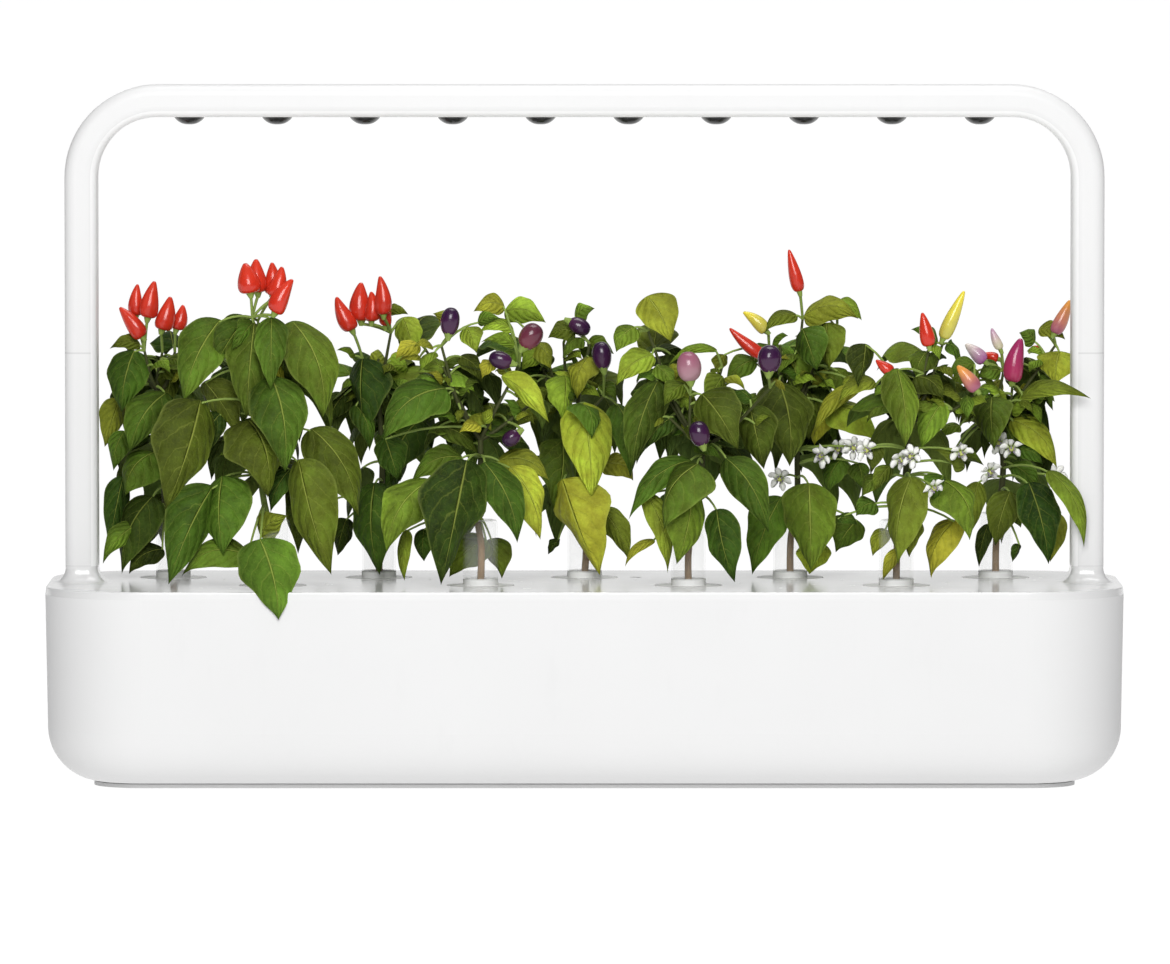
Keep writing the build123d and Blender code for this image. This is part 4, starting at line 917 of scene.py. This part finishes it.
def blade_row(base, tip, half, facing, draw, ruffle=0.10):
    """Where one blade lies and how it bows, folds and twists."""
    reach = tip - base
    ahead = reach.normalized()
    rise = (facing - ahead * facing.dot(ahead)).normalized()
    side = rise.cross(ahead)
    up = Vector((0, 0, 1)) - ahead * ahead.z
    bulge = rise * (reach.length * draw.uniform(0.6, 1.2) * 0.16) + up * (reach.length * 0.17)
    middle = (base.y + tip.y) / 2
    bulge.y = min(max(bulge.y, front_limit - middle), rear_limit - middle)
    return {"root": base, "reach": reach, "side": side * (half / max(0.6, math.hypot(side.x, side.z))),
            "rise": rise, "bulge": bulge, "fold": draw.uniform(0.25, 0.95),
            "ruffle": draw.uniform(0.5, 1.7) * ruffle, "twist": draw.uniform(-0.8, 0.8),
            "phase": draw.uniform(0.0, 6.2)}


def bead_row(root, reach, side, rise, shoulder, end, roundness=1.0, bulge=(0, 0, 0), phase=0.0):
    """Where one rounded body lies and how it bends and ripens."""
    return {"root": root, "reach": reach, "side": side, "rise": rise, "bulge": bulge,
            "roundness": roundness, "phase": phase, "shoulder": shoulder, "end": end}


def limb_lines(pod, lines, thick):
    """Trunk and branches: points, first and last radius, first and last tone, and a flared end."""
    age = 0.35 if pod == 2 else 0.95
    yield lines[0], thick, thick * 0.72, age, age * 0.9, 0
    for line in lines[1:]:
        yield line, thick * 0.62, thick * 0.36, age * 0.95, age * 0.88, 0


def stalk_lines(pod, lines, sizes):
    """The same of the stalks of leaves, fruit and flowers, and of the caps on the fruit."""
    for base, tip, *_ in leaf_places(pod, sizes):
        start, end = nearest(lines, base), base + (tip - base) * 0.03
        yield arc(start, end, min(0.006, (end - start).length * 0.2)), 0.00085, 0.00055, 0.25, 0.0, 0
    for bx, bz, tx, tz, width, kind, behind in FRUIT[pod]:
        end = at(pod, bx, bz, behind)
        back = (end - at(pod, tx, tz, behind)).normalized()
        cap = min(0.0042, width * MM * 0.30)
        yield arc(nearest(lines, end), end + back * 0.0018, 0.002), 0.0008, 0.0009, 0.25, 0.1, 0
        yield ([end + back * step for step in (0.0030, 0.0012, -0.0006, -0.0016)],
               0.0011, cap, 0.1, 0.1, cap * 1.06)
    for x, z, behind in FLOWERS.get(pod, ()):
        end = at(pod, x, z, behind + 1.5)
        yield arc(nearest(lines, end), end, 0.004), 0.0006, 0.0007, 0.2, 0.0, 0.0016


def limb_rows(lines):
    """Rows and edges for such lines."""
    rows, edges = [], []
    for points, first, last, dark, light, flare in lines:
        for step, point in enumerate(points):
            t = step / (len(points) - 1)
            if step:
                edges.append((len(rows) - 1, len(rows)))
            rows.append({"root": point, "thick": first + (last - first) * t,
                         "tone": dark + (light - dark) * t})
        if flare:
            rows[-1]["thick"] = flare
    return rows, edges


# ---------------------------------------------------------------- operators

class GARDEN_OT_mouldings(bpy.types.Operator):
    """Finish the white tub, lid, legs, arch and their inner strips"""

    bl_idname = "garden.mouldings"
    bl_label = "Finish mouldings"

    def execute(self, context):
        colours = context.scene.garden_colours
        seams = collar_top * MM, extension_top * MM
        paint(finish("white_gloss", moulded(colours.white, 0.24), coat_weight=0.5, coat_roughness=0.10),
              "lid")
        paint(finish("white_satin", moulded(colours.white, 0.50), specular_ior_level=0.22), "tank_shell")
        paint(finish("white_legs", moulded(colours.white, 0.42, seams=seams), specular_ior_level=0.35),
              "left_extension", "right_extension", "lamp_arch")
        paint(finish("inner_strip", moulded(colours.strip, 0.42)), "extension_strips", "arch_strip")
        paint(finish("foot_grey", moulded((0.50, 0.50, 0.50), 0.5, 0.0006, 0.00003)), "foot_plate")
        paint(finish("hidden_white", moulded((0.72, 0.72, 0.71), 0.45)), "dry_box_cover")
        return {"FINISHED"}


class GARDEN_OT_lamp(bpy.types.Operator):
    """Finish the lamp: smoked lenses, chips, board and heat spreader"""

    bl_idname = "garden.lamp"
    bl_label = "Finish lamp"

    def execute(self, context):
        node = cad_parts["led_lenses"]
        top = max(vert.co.z for vert in node.data.vertices)
        profile = [(radius * MM, height * MM) for radius, height in LENS_PROFILE]
        profile += [(profile[-1][0], top), (0, top)]
        centres = [(one - (lens_count - 1) / 2) * lens_pitch * MM for one in range(lens_count)]
        points, faces = turned(profile, centres, lens_turns)
        mesh = bpy.data.meshes.new("lens_domes")
        mesh.from_pydata(points, [], faces)
        smoked = finish("smoked_lens", lens, coat_weight=0.15, coat_roughness=0.05, specular_ior_level=0.3)
        seat(add_smooth(mesh, smoked), "lamp", "lens_plastic", node.name)
        mesh.set_sharp_from_angle(angle=math.radians(40))
        paint(finish("chip_face", moulded((0.75, 0.62, 0.16), 0.35, 0.0002, 0.00001, 0.2)), "led_chips")
        paint(finish("circuit_board", board), "led_board", "timer_board")
        paint(finish("spreader", metal((0.62, 0.63, 0.64), 0.30, (0.08, 1.0, 1.0)), metallic=1.0),
              "heat_spreader")
        return {"FINISHED"}


class GARDEN_OT_fittings(bpy.types.Operator):
    """Finish the screws, leads, contacts, feet, float and power inlet"""

    bl_idname = "garden.fittings"
    bl_label = "Finish fittings"

    def execute(self, context):
        paint(finish("screw_steel", metal((0.56, 0.56, 0.57), 0.28, (1.0, 1.0, 0.2)), metallic=1.0),
              "board_screws", "cover_screws")
        paint(finish("contact_brass", metal((0.72, 0.52, 0.22), 0.24, (1.0, 1.0, 0.1)), metallic=1.0),
              "lid_pins", "extension_rods", "arch_pads")
        paint(finish("lead_sheath", moulded((0.05, 0.05, 0.055), 0.48, 0.0008, 0.00003)),
              "lid_leads", "lamp_leads")
        paint(finish("foot_rubber", moulded((0.045, 0.045, 0.045), 0.72, 0.0007, 0.00008, 0.15)),
              "rubber_feet")
        paint(finish("float_foam", moulded((0.70, 0.30, 0.10), 0.62, 0.0011, 0.00006, 0.12)), "water_float")
        paint(finish("inlet_black", moulded((0.03, 0.03, 0.032), 0.40, 0.0005, 0.00003, 0.1)), "power_inlet")
        return {"FINISHED"}


class GARDEN_OT_pods(bpy.types.Operator):
    """Finish the pods: cups, frosted sleeves and crumbly growing medium"""

    bl_idname = "garden.pods"
    bl_label = "Make pods"

    def execute(self, context):
        crumb = context.scene.garden_sizes.crumb
        cup = finish("cup_grey", moulded((0.30, 0.30, 0.31), 0.45))
        sleeve = finish("frosted_sleeve", frosted)
        peat = finish("growing_medium", soil)
        for pod in PODS:
            paint(cup, "pod_%d_cup" % pod)
            paint(sleeve, "pod_%d_sleeve" % pod)
            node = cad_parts["pod_%d_medium" % pod]
            work = bmesh.new()
            work.from_mesh(node.data)
            bmesh.ops.remove_doubles(work, verts=work.verts, dist=1e-6)
            for cut in range(crumb_cuts):
                long = [edge for edge in work.edges if edge.calc_length() > longest_crumb]
                bmesh.ops.subdivide_edges(work, edges=long, cuts=1)
                bmesh.ops.triangulate(work, faces=work.faces)
            work.normal_update()
            pits = [(vert, noise.noise(vert.co * crumb_scale + Vector((pod, 0, 0)))) for vert in work.verts]
            for vert, pit in pits:
                vert.co -= vert.normal * (crumb * max(0.0, 0.5 + pit))
            mesh = bpy.data.meshes.new("pod_%d_peat" % pod)
            work.to_mesh(mesh)
            work.free()
            seat(add_smooth(mesh, peat), "pod_%d" % pod, "growing_medium", node.name)
        return {"FINISHED"}


class GARDEN_OT_limbs(bpy.types.Operator):
    """Grow the stems, branches and stalks of the nine plants"""

    bl_idname = "garden.limbs"
    bl_label = "Grow limbs"

    def execute(self, context):
        sizes, tree = context.scene.garden_sizes, limb_tree()
        bark = finish("green_stalk", stalk, specular_ior_level=0.10)
        for pod in PODS:
            lines = skeleton(pod)
            limbs = [*limb_lines(pod, lines, sizes.stalk_width), *stalk_lines(pod, lines, sizes)]
            grow(pod, "limbs", tree, *limb_rows(limbs), sides=9, material=bark)
        return {"FINISHED"}


class GARDEN_OT_leaves(bpy.types.Operator):
    """Grow the leaves of the nine plants"""

    bl_idname = "garden.leaves"
    bl_label = "Grow leaves"

    def execute(self, context):
        sizes, colours, tree = context.scene.garden_sizes, context.scene.garden_colours, blade_tree()
        green = finish("pepper_leaf", leaf(colours.leaf_dark, colours.leaf_middle, colours.leaf_bright),
                       specular_ior_level=0.07)
        for pod in PODS:
            draw = random.Random(BLADE_SEED + pod)
            rows = [{**blade_row(base, tip, half, facing, draw), "tint": tint}
                    for base, tip, half, tint, facing in leaf_places(pod, sizes)]
            piece = grow(pod, "leaves", tree, rows, **outline(*leaf_outline), rows=sizes.blade_rows,
                         columns=sizes.blade_columns, thickness=sizes.blade_thickness, material=green)
            piece.data.set_sharp_from_angle(angle=math.radians(70))
        return {"FINISHED"}


class GARDEN_OT_fruit(bpy.types.Operator):
    """Grow the peppers and the round purple fruit"""

    bl_idname = "garden.fruit"
    bl_label = "Grow fruit"

    def execute(self, context):
        tree = fruit_tree()
        waxed = finish("pepper_skin", skin, coat_weight=0.25, coat_roughness=0.10, specular_ior_level=0.35)
        for pod in PODS:
            draw, rows = random.Random(FRUIT_SEED + pod), []
            for bx, bz, tx, tz, width, kind, behind in FRUIT[pod]:
                base = at(pod, bx, bz, behind)
                reach = at(pod, tx, tz, behind) - base
                ahead, half = reach.normalized(), width * MM / 2
                side = ahead.cross(Vector((0, -1, 0))).normalized()
                shoulder, end, roundness = RIPE[kind]
                bend = side * (reach.length * draw.uniform(-0.07, 0.07) * (1 - roundness))
                rows.append(bead_row(base, reach, side * half, ahead.cross(side) * half, shoulder, end,
                                     roundness, bend, draw.uniform(0, 6.2)))
            if rows:
                grow(pod, "fruit", tree, rows, segments=20, rings=16, material=waxed)
        return {"FINISHED"}


class GARDEN_OT_flowers(bpy.types.Operator):
    """Grow the white flowers and their eyes"""

    bl_idname = "garden.flowers"
    bl_label = "Grow flowers"

    def execute(self, context):
        long = context.scene.garden_sizes.petal_length
        blades, beads = blade_tree(), fruit_tree()
        white, eye = finish("white_petal", petal), finish("flower_eye", skin)
        for pod, flowers in FLOWERS.items():
            draw, petals, eyes = random.Random(FLOWER_SEED + pod), [], []
            for x, z, behind in flowers:
                heart = at(pod, x, z, behind)
                facing = Vector((draw.uniform(-1.1, 1.1), -1, draw.uniform(-1.1, 0.3))).normalized()
                side = facing.cross(Vector((0, 0, 1))).normalized()
                rise = side.cross(facing)
                count, start = draw.choice((5, 6)), draw.uniform(0, 1)
                for one in range(count):
                    way = (one + start) * math.tau / count
                    out = side * math.cos(way) + rise * math.sin(way)
                    petals.append(blade_row(heart + out * 0.0012, heart + out * long + facing * 0.0012,
                                            0.0019, facing, draw, ruffle=0.16))
                    eyes.append(bead_row(heart + out * 0.0019 + facing * 0.0006, facing * 0.0022,
                                         side * 0.0006, rise * 0.0006, *anther_tones))
                eyes.append(bead_row(heart - facing * 0.0008, facing * 0.0030,
                                     side * 0.0015, rise * 0.0015, *heart_tones))
            grow(pod, "petals", blades, petals, **outline(*petal_outline), rows=9, columns=5,
                 thickness=0.0003, material=white)
            grow(pod, "flower_eyes", beads, eyes, segments=8, rings=6, material=eye)
        return {"FINISHED"}


class GARDEN_OT_stage(bpy.types.Operator):
    """Set the floor, the soft light and the camera"""

    bl_idname = "garden.stage"
    bl_label = "Set stage"

    def execute(self, context):
        scene = context.scene
        mesh = bpy.data.meshes.new("floor")
        mesh.from_pydata([(x, y, 0) for x, y in FLOOR], [], [(0, 1, 2, 3)])
        mesh.materials.append(finish("floor_pale", ground, emission_color=(1.0, 1.0, 1.0),
                                     emission_strength=1.0, specular_ior_level=0.0))
        floor = add_object("floor", mesh)

        world = bpy.data.worlds.new("studio")
        world.use_nodes = True
        scene.world = world
        net = Net(world.node_tree)
        way = net.node("ShaderNodeTexCoord", out="Generated")
        aside = net.ramp(net.size(net.axis(way, 0)), 0.25, 0.85)
        tone = net.mix(aside, (1.0, 1.0, 1.0), (0.17, 0.17, 0.18))
        tone = net.mix(net.ramp(net.axis(way, 1), 0.86, 0.97), tone, (2.9, 2.9, 2.9))
        light = net.node("ShaderNodeBackground", {}, {"Color": tone, "Strength": 0.30})
        net.node("ShaderNodeOutputWorld", {}, {"Surface": light})

        for name, where, side, power, aim in LIGHTS:
            lamp = bpy.data.lights.new(name, "AREA")
            lamp.shape, lamp.size, lamp.energy = "SQUARE", side, power
            box = add_object(name, lamp)
            box.location = where
            box.rotation_euler = (Vector(aim) - Vector(where)).to_track_quat("-Z", "Y").to_euler()

        view = bpy.data.cameras.new("camera")
        view.lens, view.sensor_width, view.clip_end = camera_lens, 36.0, 200.0
        camera = add_object("camera", view)
        back = Vector((0, -math.cos(camera_tilt), math.sin(camera_tilt)))
        camera.location = Vector(camera_aim) + back * camera_away
        camera.rotation_euler = (math.pi / 2 - camera_tilt, 0, 0)
        scene.camera = camera
        scene.view_settings.view_transform = "Standard"
        return {"FINISHED"}


STEPS = (GARDEN_OT_stage, GARDEN_OT_mouldings, GARDEN_OT_lamp, GARDEN_OT_fittings, GARDEN_OT_pods,
         GARDEN_OT_limbs, GARDEN_OT_leaves, GARDEN_OT_fruit, GARDEN_OT_flowers)


class GARDEN_PT_panel(bpy.types.Panel):
    """Lists the sizes, the colours and the steps"""

    bl_idname = "GARDEN_PT_panel"
    bl_label = "Garden"
    bl_space_type = "VIEW_3D"
    bl_region_type = "UI"
    bl_category = "Garden"

    def draw(self, context):
        for group in (context.scene.garden_sizes, context.scene.garden_colours):
            box = self.layout.box()
            for name in group.__annotations__:
                box.prop(group, name)
        for step in STEPS:
            self.layout.operator(step.bl_idname)


CLASSES = (GardenSizes, GardenColours, *STEPS, GARDEN_PT_panel)


def register():
    for one in CLASSES:
        bpy.utils.register_class(one)
    bpy.types.Scene.garden_sizes = PointerProperty(type=GardenSizes)
    bpy.types.Scene.garden_colours = PointerProperty(type=GardenColours)


def unregister():
    del bpy.types.Scene.garden_colours
    del bpy.types.Scene.garden_sizes
    for one in reversed(CLASSES):
        bpy.utils.unregister_class(one)


def main():
    register()
    for step in STEPS:
        group, name = step.bl_idname.split(".")
        getattr(getattr(bpy.ops, group), name)()


if __name__ == "__main__":
    main()
